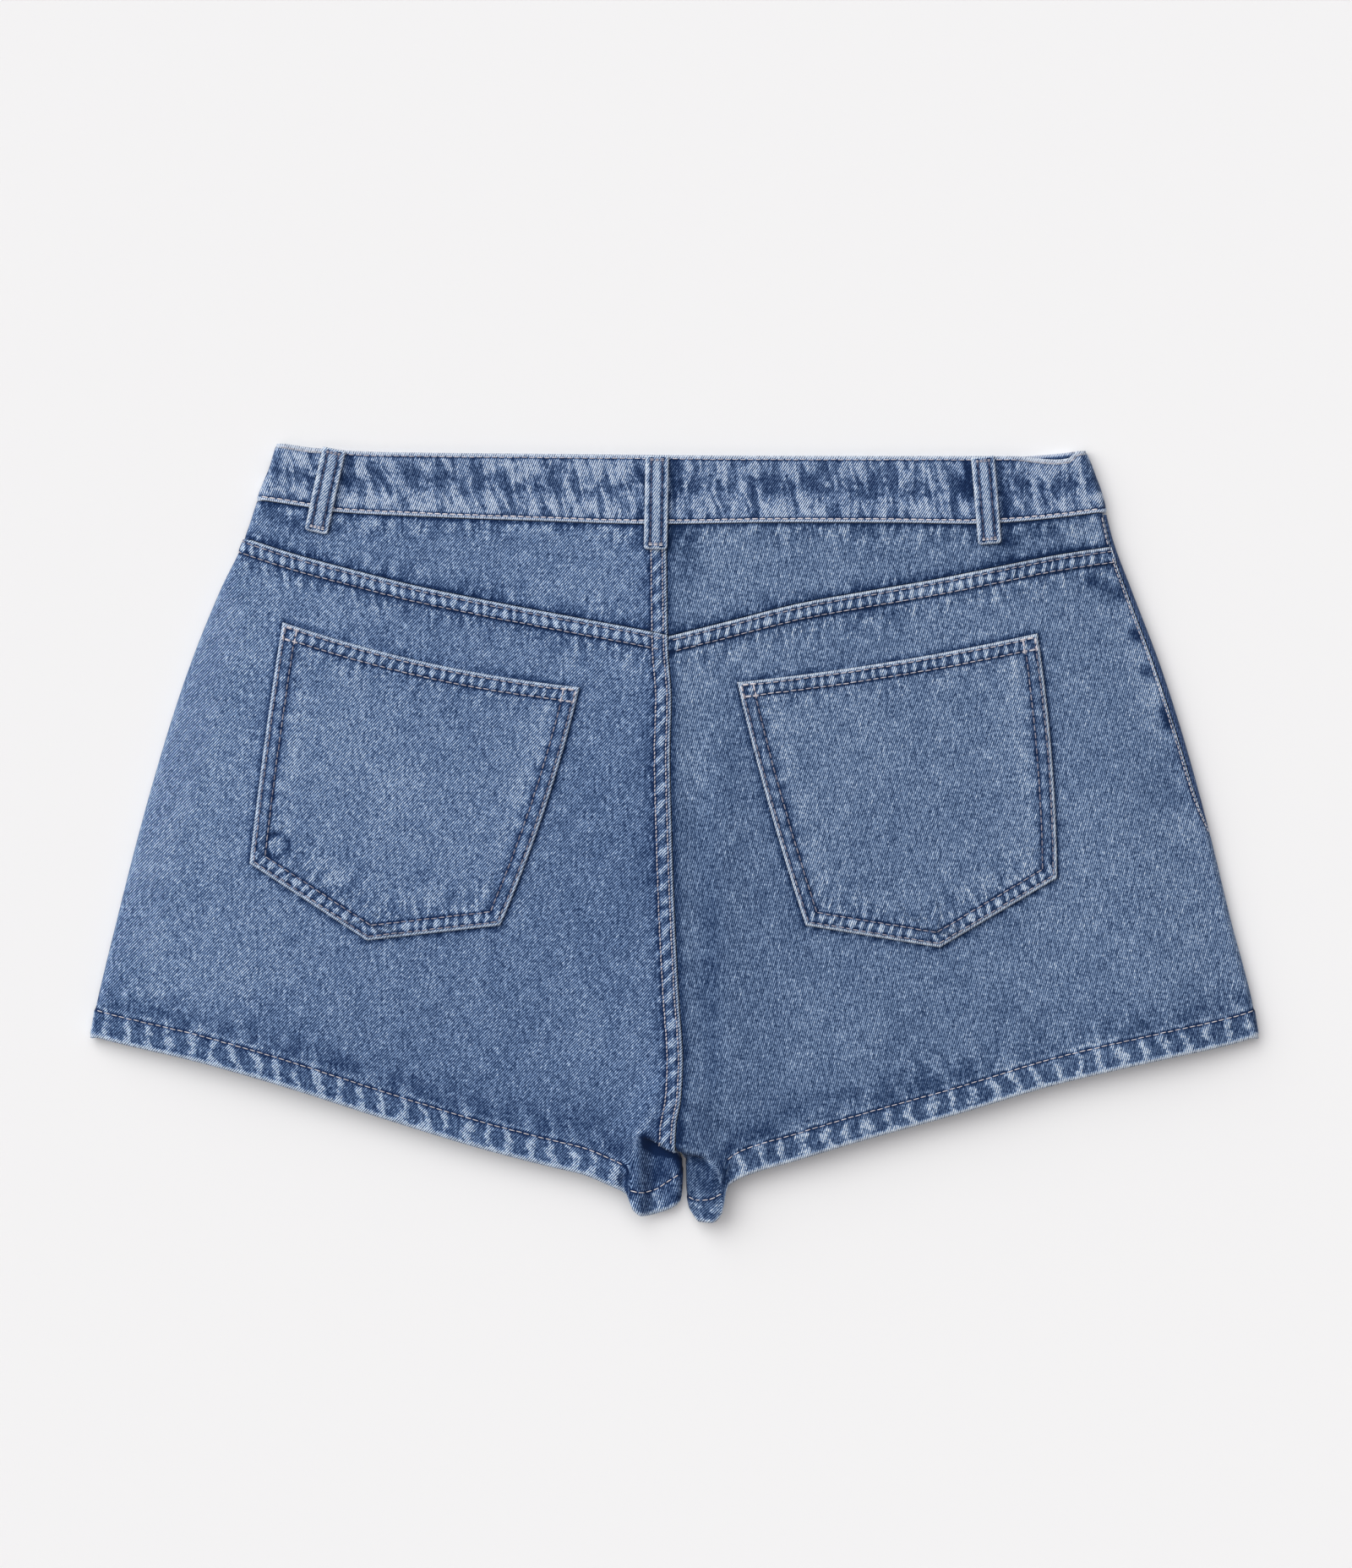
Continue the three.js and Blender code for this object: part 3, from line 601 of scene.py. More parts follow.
def band_finish(x, y):
    high, low = back_waist(x), BAND_SEAM(x) + GAP
    down, up = high - y, y - low
    share = down / (high - low)
    f = Finish(x, y, 3)
    lean = 2.5 * cloud(x / 60, 0.5, 4) - 2.0
    bend = (share - 0.5) * lean * 2 + 2.0 * cloud(x / 19, y / 13, 6)
    f.pucker = 0.95 * between(down, 2.4, FAR, 1.2) * between(up, 2.6, FAR, 1.2)
    f.along, f.away = (x + bend) / 7.4, share * 3.1
    valley = bump(share - 0.46 - 0.07 * cloud(x / 12, 0.5, 7), 0.15)
    f.fray = valley
    f.wear_and_shade += 0.1 - 0.12 * ease((x + 40) / 80) + 0.08 * bump(share - 0.78, 0.15)
    f.wear_and_shade -= 0.42 * loop_shadow(x, y)
    f.lift += SEAM_RISE + 0.3 * cloud(x / 7, y / 16, 5) * f.pucker - 0.25 * valley
    f.row(up - 2.0)
    f.row(down - 2.1)
    f.edge(up, width=1.7, white=0.5)
    f.edge(down, white=0.95)
    f.pale += 0.8 * between(down, -5, 2.8) * ease((np.abs(x + 1) - 184) / 12)
    return f


def yoke_finish(leg):
    def finish(x, y):
        f = Finish(x, y, 20 + leg.side)
        below = BAND_SEAM(x) - y
        above = y - leg.yoke(x) - GAP
        seam = (CENTRE_SEAM(y) - x) * -leg.side
        f.seam(x, below, pitch=7.5, reach=9, strength=1.35, slant=0.15)
        f.seam(x, above, pitch=7.5, reach=8, strength=0.9, slant=-0.1)
        # Painted shade under the waistband's edge and over the yoke seam's lap, on cloth that is
        # also unrubbed.
        f.hollow(below, 1.6, 0.75)
        f.hollow(above, 1.5, 0.8)
        f.hollow(above - 2, 4, 0.2)
        f.wear_and_shade += ridges(x, y, CREASES) - 0.35 * loop_shadow(x, y)
        if leg.side < 0:
            felled(f, y, seam)
        else:
            # Painted shade beside the left side's raised lap, on cloth that is also unrubbed.
            f.hollow(seam, 2.6, 0.6)
            side_seam(f, x, y)
        return f

    return finish


def felled(f, y, seam, share=1.0):
    """The left side's lap along the centre seam, with two rows between which it puckers."""
    lap = share * between(seam, -3, FELL_WIDTH, 1.2)
    f.wear_and_shade -= share * 0.14 * bump(seam - 11, 3.5)
    f.wear_and_shade = mix(f.wear_and_shade, 0.04, lap)
    away = seam + (1 - share) * FAR
    f.seam(y, away, pitch=8.6, reach=4, lap=FELL_WIDTH, strength=0.7, slant=0.8)
    f.pucker *= 1 - 0.2 * lap
    f.lift = mix(f.lift, SEAM_RISE, lap)
    for distance in FELL_ROWS:
        f.row(seam - distance, share)
    f.edge(seam, width=1.3, share=share)


def seam_distance(x, y):
    """Flat distance inside the right side seam."""
    return fold_top(1, y) + QUARTER - RIGHT_SEAM(y) - CURVED_GAP / 2 - x


def side_seam(f, x, y):
    """The back's edge along the right side seam: turned under, with one row."""
    shows = ease((RIGHT_SEAM(y) + 1) / 3)
    side = seam_distance(x, y)
    f.seam(y, side + (1 - shows) * FAR, pitch=14.0, reach=8, strength=0.35, slant=0.7)
    f.lift += shows * 0.45 * between(side, -1, 5, 2)
    f.row(side - 1.5, shows)
    f.edge(side, width=0.9, share=shows)


def back_finish(leg):
    def finish(x, y):
        f = Finish(x, y, 60 + leg.side)
        f.wear_and_shade += broad_tone(x, y)
        top = (leg.yoke(x) - y) * 0.97
        over = (y - hem_row(leg, x, y)) * 0.96
        hem = over + HEM_DEPTH
        seam = (inner_edge(leg, y) - x) * -leg.side
        tongue = ease((LIP(x) - y) / 5) * ease((leg.tongue_side(y) + 2 - np.abs(x)) / 3)
        pocket = POCKETS["pocket_" + leg.name]

        # Round the pocket, which hides what lies under it: streaks, and painted shade beside its
        # edge on cloth that is also unrubbed.
        outside = pocket.outside(x, y)
        rim = pocket.along_rim(x, y)
        f.seam(rim, np.maximum(outside, 0), pitch=8.0, reach=5, strength=0.45)
        f.hollow(outside, 1.5, 0.75)

        # Under the yoke seam: a light fold, two rows with puckers between, and streaks below.
        lap = between(top, -2, FELL_WIDTH, 1.0)
        f.wear_and_shade = mix(f.wear_and_shade, 0.16 - 0.03 * leg.side, lap)
        f.seam(x, top, pitch=5.5, reach=9, lap=FELL_WIDTH, strength=1.3, slant=0.05)
        f.hollow(top - FELL_WIDTH, 4, 0.1)
        f.lift += lap * SEAM_RISE
        f.row(top - 2.4)
        f.row(top - 8.3)
        f.edge(top, width=1.7)

        # The hem: broad puckers under its row, a light line over it and streaks, a pale edge.
        turned = between(hem, -2, HEM_DEPTH, 1.2)
        f.wear_and_shade += 0.25 * between(over, 0.3, 3.2, 2) - 0.1 * bump(over - 8, 6)
        f.wear_and_shade = mix(f.wear_and_shade, 0.1 - 0.24 * tongue, turned)
        slant = 0.18 + 0.08 * leg.side
        look = {"strength": 0.75, "slant": slant, "bars": 0.95, "narrow": 0.4}
        f.seam(x, hem, pitch=11.5, reach=15, lap=HEM_DEPTH, **look)
        f.pucker *= 1 - 0.45 * tongue
        f.lift += turned * (0.55 + 0.25 * cloud(x / 7, hem / 12, 66))
        f.row(over, 0.8)
        f.edge((y - leg.hem(x)) * 0.96, width=2.2, white=0.85, share=0.8, radius=1.2)

        # The centre seam, and the right side seam where it shows.
        above = ease((y - LIP(x) + 3) / 4)
        if leg.side < 0:
            felled(f, y, seam, above)
        else:
            away = seam + (1 - above) * FAR
            # Painted shade beside the left side's raised lap, on cloth that is also unrubbed.
            f.hollow(away, 2.6, 0.55)
            f.wear_and_shade += (0.2 * ease(y / 25) - 0.08) * bump(away - 13, 11)
            side_seam(f, x, y)
        # The creases, and a little painted shade on the tongue under the lip.
        f.wear_and_shade += ridges(x, y, CREASES) - 0.04 * tongue * (1 - turned)
        return f

    return finish


# ---- Pockets --------------------------------------------------------------------------------


class Pocket:
    """A patch pocket, of five corners in X and Y, with its edges numbered from the top round right.

    Its top sags and its sides bulge. ring is the middle and radius of a worn ring.
    """

    # The puckers and the wear along each edge.
    PITCHES = (5.6, 10, 5.6, 5.4, 10)
    REACHES = (9, 8, 15, 14, 8)
    STRENGTHS = (0.9, 0.6, 1.0, 1.0, 0.7)
    BARS = (0.9, 0.35, 0.95, 0.95, 0.35)
    RUBBED = (0.06, -0.03, 0.12, 0.12, -0.03)
    SIDES = (1, 4)

    def __init__(self, leg, seed, corners, sag, bulges, ring=None):
        self.leg, self.seed, self.ring = leg, seed, ring
        self.corners = [np.array(corner, float) for corner in corners]
        self.bows = [-sag, bulges[1], 0.0, 0.0, bulges[0]]

    def edge(self, n, share):
        """Points along edge n of the outline, from corner n to the next."""
        start, end = self.corners[n], self.corners[(n + 1) % 5]
        along = (end - start) / np.linalg.norm(end - start)
        outwards = np.array([-along[1], along[0]])
        bow = 4 * share * (1 - share) * self.bows[n]
        return start + np.multiply.outer(share, end - start) + np.multiply.outer(bow, outwards)

    def place(self, n, x, y):
        """Distance along edge n, and inside it."""
        start, end = self.corners[n], self.corners[(n + 1) % 5]
        length = np.linalg.norm(end - start)
        way = (end - start) / length
        along = (x - start[0]) * way[0] + (y - start[1]) * way[1]
        outwards = (y - start[1]) * way[0] - (x - start[0]) * way[1]
        share = np.clip(along / length, 0, 1)
        return along, 4 * share * (1 - share) * self.bows[n] - outwards

    def outside(self, x, y):
        return -np.minimum.reduce([self.place(n, x, y)[1] for n in range(5)])

    def along_rim(self, x, y):
        """Distance along the edge that is furthest inwards."""
        places = [self.place(n, x, y) for n in range(5)]
        nearest = np.argmin([inside for _, inside in places], axis=0)
        return np.choose(nearest, [along for along, _ in places])

    def finish(self, x, y):
        f = Finish(x, y, self.seed)
        rim = -self.outside(x, y)
        turned = between(rim, -2, POCKET_EDGE, 1.0)
        light = 0
        seams = zip(self.PITCHES, self.REACHES, self.STRENGTHS, self.BARS, self.RUBBED)
        for n, (pitch, reach, strength, bars, rubbed) in enumerate(seams):
            along, inside = self.place(n, x, y)
            past = inside - POCKET_EDGE
            f.wear_and_shade -= (0.1 - rubbed) * strength * bump(past - 1, 3)
            if n in self.SIDES:
                f.wear_and_shade += 0.12 * bump(past - 8, 5)
            f.seam(along, inside, pitch, reach, POCKET_EDGE, strength, slant=0.1, bars=bars)
            light += rubbed * between(inside, -2, POCKET_EDGE, 1.0)
        if self.ring:
            ring_x, ring_y, radius = self.ring
            from_ring = np.hypot(x - ring_x, y - ring_y) - radius
            f.wear_and_shade += 0.15 * bump(from_ring + radius, 4) - 0.65 * bump(from_ring, 1.6)
        f.wear_and_shade = mix(f.wear_and_shade, np.clip(light, -0.1, 0.12), turned)
        f.pucker *= between(rim, -2, POCKET_EDGE + 1.6, 2.2)
        f.lift += GAP + CLOTH + 0.4 * turned
        for distance in POCKET_ROWS:
            f.row(rim - distance)
        f.edge(rim, width=1.7, radius=0.8)
        return f


POCKETS = {
    "pocket_left": Pocket(
        LEFT,
        seed=100,
        corners=[(-212.9, 113.9), (-51.8, 78.6), (-94.8, -50.5), (-167.2, -58.6), (-230.7, -16.9)],
        sag=4.6,
        bulges=(0.8, 3.0),
        ring=(-216.2, -7.2, 6.4),
    ),
    "pocket_right": Pocket(
        RIGHT,
        seed=200,
        corners=[(33.7, 81.3), (196.5, 107.8), (207.2, -24.7), (143.5, -62.5), (70.9, -50.5)],
        sag=2.4,
        bulges=(1.6, 2.4),
    ),
}


# ---- Cloth meshes ---------------------------------------------------------------------------


def stops(*zones):
    """Shares from 0 to 1 along a length made of zones (length, step), finer where step is small."""
    places = [0.0]
    for length, step in zones:
        count = max(1, round(length / step))
        start = places[-1]
        places += [start + length * (n + 1) / count for n in range(count)]
    return np.array(places) / places[-1]


def patch(top, bottom, left, right, s, t):
    """Flat places between four boundary curves. Each gives points for shares from 0 to 1."""
    s2, t2 = s[..., None], t[..., None]
    start, end = 0 * s, 0 * s + 1
    corners = mix(mix(top(start), top(end), s2), mix(bottom(start), bottom(end), s2), t2)
    return mix(top(s), bottom(s), t2) + mix(left(t), right(t), s2) - corners


def panel(upper, lower, left_x, right_x, s, t):
    """Flat places of a panel between two lines across and two edges down."""
    t, s = np.meshgrid(t, s, indexing="ij")
    ends = [[meet(line, edge) for line in (upper, lower)] for edge in (left_x, right_x)]

    def across(line, n):
        start, end = float(left_x(ends[0][n])), float(right_x(ends[1][n]))

        def points(share):
            x = mix(start, end, share)
            return np.stack([x, line(x)], axis=-1)

        return points

    def down(edge, n):
        def points(share):
            y = mix(ends[n][0], ends[n][1], share)
            return np.stack([edge(y), y], axis=-1)

        return points

    places = patch(across(upper, 0), across(lower, 1), down(left_x, 0), down(right_x, 1), s, t)
    return places[..., 0], places[..., 1]


def leg_panel(leg, upper, lower, outer, inner, s, t):
    """Flat places of a piece of one leg, with s from its outer edge to its inner one."""
    if leg.side < 0:
        return panel(upper, lower, outer, inner, s, t)
    return panel(upper, lower, inner, outer, 1 - s[::-1], t)


# The share of a leg's rows that are drawn down to its hem, how far in from the inner edge its
# columns are drawn to that edge, and where and how the plain hem goes straight on.
HANG_SHARE = 0.16
INNER_REACH = 15.0
PLAIN_HEM_END = 36.0
PLAIN_HEM_SLOPE = 0.3


def plain_hem(leg, x):
    """A leg's hem as if nothing hung out under the crotch: straight on from its inner end."""
    inside = np.maximum(PLAIN_HEM_END - x * leg.side, 0)
    return leg.hem(np.where(inside > 0, PLAIN_HEM_END * leg.side, x)) - PLAIN_HEM_SLOPE * inside


def hang(leg, x, y, t, inner, plain_inner):
    """Draws the lowest rows down to the hem, and the columns next to the inner edge to it."""
    low = np.clip((t - 1) / HANG_SHARE + 1, 0, 1)[:, None]
    near = ease(1 - np.abs(x - plain_inner(y)) / INNER_REACH)
    at_x, at_y = x, y
    for _ in range(6):
        at_y = y + low * (leg.hem(at_x) - plain_hem(leg, x))
        at_x = x + near * (inner(at_y) - plain_inner(y))
    return at_x, at_y


def round_side(side, x, y, end_arc, step):
    """Adds the columns that turn round a side, each row at its edge's height."""
    edge_y = y[:, :1] if side < 0 else y[:, -1:]
    end = QUARTER - end_arc(edge_y)
    count = max(2, round(float(np.max(end)) / step))
    past = end * np.linspace(1, 0, count, endpoint=False)[None, :]
    more_x = fold_top(side, edge_y) + side * past
    more_y = edge_y + 0 * past
    if side < 0:
        return np.hstack([more_x, x]), np.hstack([more_y, y])
    return np.hstack([x, more_x[:, ::-1]]), np.hstack([y, more_y[:, ::-1]])


def new_object(name, data):
    thing = bpy.data.objects.new(name, data)
    bpy.context.scene.collection.objects.link(thing)
    return thing


def grid_mesh(name, columns, rows, size):
    """A flat square grid of this many points across and up."""
    bm = bmesh.new()
    bmesh.ops.create_grid(bm, x_segments=columns - 1, y_segments=rows - 1, size=size)
    mesh = bpy.data.meshes.new(name)
    bm.to_mesh(mesh)
    bm.free()
    return mesh


def point_values(mesh, label, values):
    layer = mesh.attributes.new(label, "FLOAT", "POINT")
    layer.data.foreach_set("value", values.astype(np.float32))


def twill_places(x, y, lean, pivot):
    """Cloth places across and along the twill's lines, which lean this far from upright.

    Where the lean changes over a piece, the lines stay even about the pivot.
    """
    angle = np.radians(lean)
    x, y = x - pivot[0], y - pivot[1]
    return x * np.cos(angle) - y * np.sin(angle), x * np.sin(angle) + y * np.cos(angle)


def sheet_mesh(name, points, flat_x, flat_y, lean, f, wall, pivot=(0, 0)):
    """A sheet of cloth from a grid of points of its outer face, rows from the waist down."""
    rows, columns = f.wear_and_shade.shape
    mesh = grid_mesh(name, columns, rows, 1.0)
    spots = np.empty(len(mesh.vertices) * 3)
    mesh.vertices.foreach_get("co", spots)
    spots = spots.reshape(-1, 3)
    column = np.rint((spots[:, 0] + 1) / 2 * (columns - 1)).astype(int)
    row = np.rint((1 - spots[:, 1]) / 2 * (rows - 1)).astype(int)
    mesh.vertices.foreach_set("co", (points[row, column] * MM).ravel())
    for label in ("wear_and_shade", "pale", "pucker", "fray"):
        point_values(mesh, label, np.clip(getattr(f, label), -2, 1)[row, column])
    corners = np.empty(len(mesh.loops), int)
    mesh.loops.foreach_get("vertex_index", corners)
    across, along = twill_places(flat_x, flat_y, lean, pivot)
    places = {
        "Twill": (across * MM, along * MM),
        "Cloth": (flat_x * MM, flat_y * MM),
        "Seam": (f.along, f.away),
    }
    for label, (u, v) in places.items():
        layer = mesh.uv_layers.new(name=label)
        uv = np.stack([u[row, column], v[row, column]], axis=-1)[corners]
        layer.data.foreach_set("uv", uv.ravel().astype(np.float32))
    mesh.polygons.foreach_set("use_smooth", [True] * len(mesh.polygons))
    mesh.update()
    sheet = new_object(name, mesh)
    thick = sheet.modifiers.new("Cloth thickness", "SOLIDIFY")
    thick.thickness = wall * MM
    thick.offset = -1
    return sheet


def flat_area(x, y):
    """Area of the cloth of a grid of flat places, in square metres."""
    dx, dy = np.diff(x, axis=0), np.diff(y, axis=0)
    ex, ey = np.diff(x, axis=1), np.diff(y, axis=1)
    cells = np.abs(dx[:, 1:] * ey[1:] - dy[:, 1:] * ex[1:])
    return float(cells.sum()) * MM**2


# Where each tongue comes out from under its leg. The twill's lines are even about this place.
TONGUE_X, TONGUE_Y = 21, -176


def cloth_piece(name, x, y, finish, lean, wall, material, leg=None):
    """A piece of the back from its flat places and its finish, in place of its solid."""
    f = finish(x, y)
    points = raised(x, y, f.lift, leg)
    pivot = (leg.side * TONGUE_X, TONGUE_Y) if leg else (0, 0)
    sheet = sheet_mesh(name + "_cloth", points, x, y, lean, f, wall, pivot)
    dress(sheet, name, x, y, material)


def dress(sheet, node, x, y, material):
    sheet.data.materials.append(material)
    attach(sheet, "root")
    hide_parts(node)
    np.ptp(x) * MM
    np.ptp(y) * MM
    flat_area(x, y)


# ---- Materials ------------------------------------------------------------------------------


class Nodes:
    """Short calls for a node tree."""

    def __init__(self, tree):
        self.tree = tree

    def add(self, kind, **settings):
        node = self.tree.nodes.new(kind)
        for key, value in settings.items():
            setattr(node, key, value)
        return node

    def put(self, value, socket):
        if isinstance(value, bpy.types.NodeSocket):
            self.tree.links.new(value, socket)
        else:
            socket.default_value = value

    def math(self, operation, *values):
        node = self.add("ShaderNodeMath", operation=operation)
        for value, socket in zip(values, node.inputs):
            self.put(value, socket)
        return node.outputs[0]

    def sum(self, *terms):
        total = terms[0]
        for term in terms[1:]:
            total = self.math("ADD", total, term)
        return total

    def times(self, a, b):
        return self.math("MULTIPLY", a, b)

    def wave(self, turns):
        """From -1 to 1 and back, once for each 1 of turns."""
        return self.math("SINE", self.times(turns, 2 * math.pi))

    def apart(self, place):
        """X and Y of a place."""
        node = self.add("ShaderNodeSeparateXYZ")
        self.put(place, node.inputs[0])
        return node.outputs[0], node.outputs[1]

    def colours(self, factor, a, b, blend_type="MIX"):
        node = self.add("ShaderNodeMix", data_type="RGBA", blend_type=blend_type)
        for label, value in (("Factor", factor), ("A", a), ("B", b)):
            self.put(value, node.inputs[label])
        return node.outputs["Result"]

    def blend(self, factor, a, b):
        """A value from a to b."""
        return self.math("MULTIPLY_ADD", factor, self.math("SUBTRACT", b, a), a)

    def step(self, value, low, high):
        """0 below low, 1 above high, and smooth between."""
        node = self.add("ShaderNodeMapRange", interpolation_type="SMOOTHSTEP")
        for socket, given in zip(node.inputs, (value, low, high)):
            self.put(given, socket)
        return node.outputs[0]

    def noise(self, place, scale, detail=2.0):
        """Smooth noise about 0. scale is cells per unit, in X and Y."""
        spread = self.add("ShaderNodeVectorMath", operation="MULTIPLY")
        self.put(place, spread.inputs[0])
        spread.inputs[1].default_value = (*scale, 1.0)
        node = self.add("ShaderNodeTexNoise")
        self.put(spread.outputs[0], node.inputs["Vector"])
        node.inputs["Scale"].default_value = 1.0
        node.inputs["Detail"].default_value = detail
        return self.math("MULTIPLY_ADD", node.outputs["Fac"], 2.0, -1.0)


def new_group(name, inputs, outputs):
    """A node group whose inputs and outputs are numbers, colours or places."""
    tree = bpy.data.node_groups.new(name, "ShaderNodeTree")
    for label, kind in inputs:
        tree.interface.new_socket(label, in_out="INPUT", socket_type="NodeSocket" + kind)
    for label, kind in outputs:
        tree.interface.new_socket(label, in_out="OUTPUT", socket_type="NodeSocket" + kind)
    nodes = Nodes(tree)
    return tree, nodes, nodes.add("NodeGroupInput").outputs, nodes.add("NodeGroupOutput").inputs


TWILL_PITCH = 1.095 * MM
FLOAT_LENGTH = 1.7 * MM


def twill_group():
    """Slanting lines of pale weft between blue warp floats, broken along each line."""
    tree, n, given, result = new_group(
        "Twill weave",
        [("Twill place", "Vector"), ("Cloth place", "Vector")],
        [("Lines", "Float"), ("Grain", "Float"), ("Height", "Float")],
    )
    across, along = n.apart(given["Twill place"])
    across = n.math("DIVIDE", across, TWILL_PITCH)
    along = n.math("DIVIDE", along, FLOAT_LENGTH)
    waver = n.noise(given["Twill place"], (190, 120), 1.0)
    across = n.sum(across, n.times(waver, 0.22))
    lines = n.wave(across)
    beads = n.wave(n.sum(along, across))
    height = n.sum(lines, n.times(beads, 0.25))
    breaks = n.noise(given["Twill place"], (760, 420), 1.0)
    n.put(n.sum(height, n.times(breaks, 0.9)), result["Lines"])
    warp = n.noise(given["Cloth place"], (700, 130), 2.0)
    weft = n.noise(given["Cloth place"], (130, 620), 2.0)
    specks = n.noise(given["Cloth place"], (720, 680), 2.0)
    slubs = n.noise(given["Cloth place"], (210, 160), 1.0)
    threads = n.sum(n.times(warp, 0.65), n.times(weft, 0.15))
    n.put(n.sum(threads, n.times(specks, 0.95), n.times(slubs, 0.1)), result["Grain"])
    n.put(height, result["Height"])
    return tree


def seam_sockets(name):
    """A group of puckers: where on a seam a place is, and how much of the two kinds it has."""
    inputs = [("Seam place", "Vector"), ("Pucker", "Float"), ("Fray", "Float")]
    return new_group(name, inputs, [("Wear", "Float"), ("Height", "Float")])


def pucker_group():
    """Bars across a lap and streaks beside it, at a place in bars along and cm away."""
    tree, n, given, result = seam_sockets("Puckers")
    along, _ = n.apart(given["Seam place"])
    drift = n.noise(given["Seam place"], (0.6, 1.0), 1.0)
    bars = n.wave(n.sum(along, n.times(drift, 0.55)))
    broad = n.noise(given["Seam place"], (1.1, 1.9), 2.0)
    fine = n.noise(given["Seam place"], (6.0, 5.0), 1.0)
    narrow = n.times(given["Pucker"], given["Fray"])
    value = n.sum(bars, n.times(broad, 1.5), n.times(fine, 0.8), n.times(narrow, -1.3))
    rubbed = n.step(value, -0.65, 1.0)
    streak = n.noise(given["Seam place"], (1.5, 0.75), 2.0)
    streaks = n.step(n.sum(streak, n.times(fine, 0.35)), -0.22, 0.36)
    gathered = n.sum(n.blend(rubbed, -0.43, 0.5), n.times(fine, 0.3))
    frayed = n.sum(n.blend(streaks, -0.28, 0.37), n.times(fine, 0.25))
    loose = n.math("SUBTRACT", given["Fray"], narrow)
    wear_and_shade = n.sum(n.times(given["Pucker"], gathered), n.times(loose, frayed))
    n.put(wear_and_shade, result["Wear"])
    relief = n.sum(n.times(given["Pucker"], rubbed), n.times(loose, n.times(streaks, 0.5)))
    n.put(relief, result["Height"])
    return tree


def band_group():
    """A gathered band: upright pale folds and thin ridges, with dark hollows where Fray is 1."""
    tree, n, given, result = seam_sockets("Band gathers")
    folds = n.noise(given["Seam place"], (1.35, 0.5), 1.0)
    thin = n.math("ABSOLUTE", n.noise(given["Seam place"], (0.95, 0.42), 0.0))
    ridge = n.math("MAXIMUM", n.math("MULTIPLY_ADD", thin, -9.0, 1.0), 0.0)
    blots = n.noise(given["Seam place"], (1.6, 2.4), 1.0)
    fine = n.noise(given["Seam place"], (5.0, 4.5), 2.0)
    hollow = n.times(given["Fray"], n.math("MULTIPLY_ADD", blots, -1.6, 1.0))
    value = n.sum(n.times(folds, 3.2), n.times(blots, 0.8), n.times(ridge, 0.7), n.times(fine, 0.5))
    rubbed = n.step(n.math("SUBTRACT", value, n.times(hollow, 0.9)), -1.35, 1.15)
    tone = n.sum(n.blend(rubbed, -0.58, 0.3), n.times(ridge, 0.12), n.times(fine, 0.24))
    n.put(n.times(given["Pucker"], tone), result["Wear"])
    n.put(n.times(given["Pucker"], rubbed), result["Height"])
    return tree


# Indigo from never rubbed, or deepest painted shade, to rubbed white: share of the way, and its
# colour as seen.
INDIGO_SHADES = [
    (0.00, (14, 36, 72)),
    (0.22, (44, 68, 108)),
    (0.48, (96, 118, 155)),
    (0.70, (143, 167, 206)),
    (0.88, (190, 208, 237)),
    (1.00, (222, 231, 245)),
]
WORN_WHITE = (214, 221, 234)


def linear(shade):
    """A colour as seen, from 0 to 255, as the renderer takes it."""
    parts = [value / 255 for value in shade]
    return (*(((p + 0.055) / 1.055) ** 2.4 if p > 0.04 else p / 12.92 for p in parts), 1.0)


def indigo_group():
    """The colour of denim from its wear and the shade painted on it. Rubbed cloth shows its twill,
    dark cloth hardly does.
    """
    tree, n, given, result = new_group(
        "Faded indigo",
        [
            ("Wear", "Float"), ("Pale", "Float"), ("Lines", "Float"), ("Grain", "Float"),
            ("Tint", "Color"),
        ],
        [("Color", "Color")],
    )
    worn = n.step(given["Wear"], -0.8, 0.5)
    lines = n.times(given["Lines"], n.blend(worn, 0.45, 1.0))
    lit = n.step(given["Wear"], -1.7, -0.75)
    tone = n.sum(given["Wear"], n.times(n.sum(lines, given["Grain"]), lit))
    ramp = n.add("ShaderNodeValToRGB")
    elements = ramp.color_ramp.elements
    for _ in INDIGO_SHADES[2:]:
        elements.new(0.5)
    for element, (share, shade) in zip(elements, INDIGO_SHADES):
        element.position = share
        element.color = linear(shade)
    n.put(n.math("MULTIPLY_ADD", tone, 0.5, 0.5), ramp.inputs["Fac"])
    ticks = n.math("MULTIPLY_ADD", n.sum(given["Lines"], given["Grain"]), 0.55, 0.75)
    white = n.times(given["Pale"], n.math("MAXIMUM", ticks, 0.1))
    edged = n.colours(white, ramp.outputs["Color"], linear(WORN_WHITE))
    n.put(n.colours(1.0, edged, given["Tint"], "MULTIPLY"), result["Color"])
    return tree


TWILL = twill_group()
PUCKERS = pucker_group()
BAND_GATHERS = band_group()
INDIGO = indigo_group()


def new_material(name, sockets):
    """A material, its nodes and its shader, with these sockets of the shader set."""
    material = bpy.data.materials.new(name)
    material.use_nodes = True
    shader = material.node_tree.nodes["Principled BSDF"]
    for label, value in sockets.items():
        shader.inputs[label].default_value = value
    return material, Nodes(material.node_tree), shader.inputs


CLOTH_GLOSS = {
    "Roughness": 0.88, "Specular IOR Level": 0.12, "Sheen Weight": 0.05, "Sheen Roughness": 0.5,
}
RELIEF_STRENGTH = 0.6
RELIEF_DEPTH = 0.5 * MM


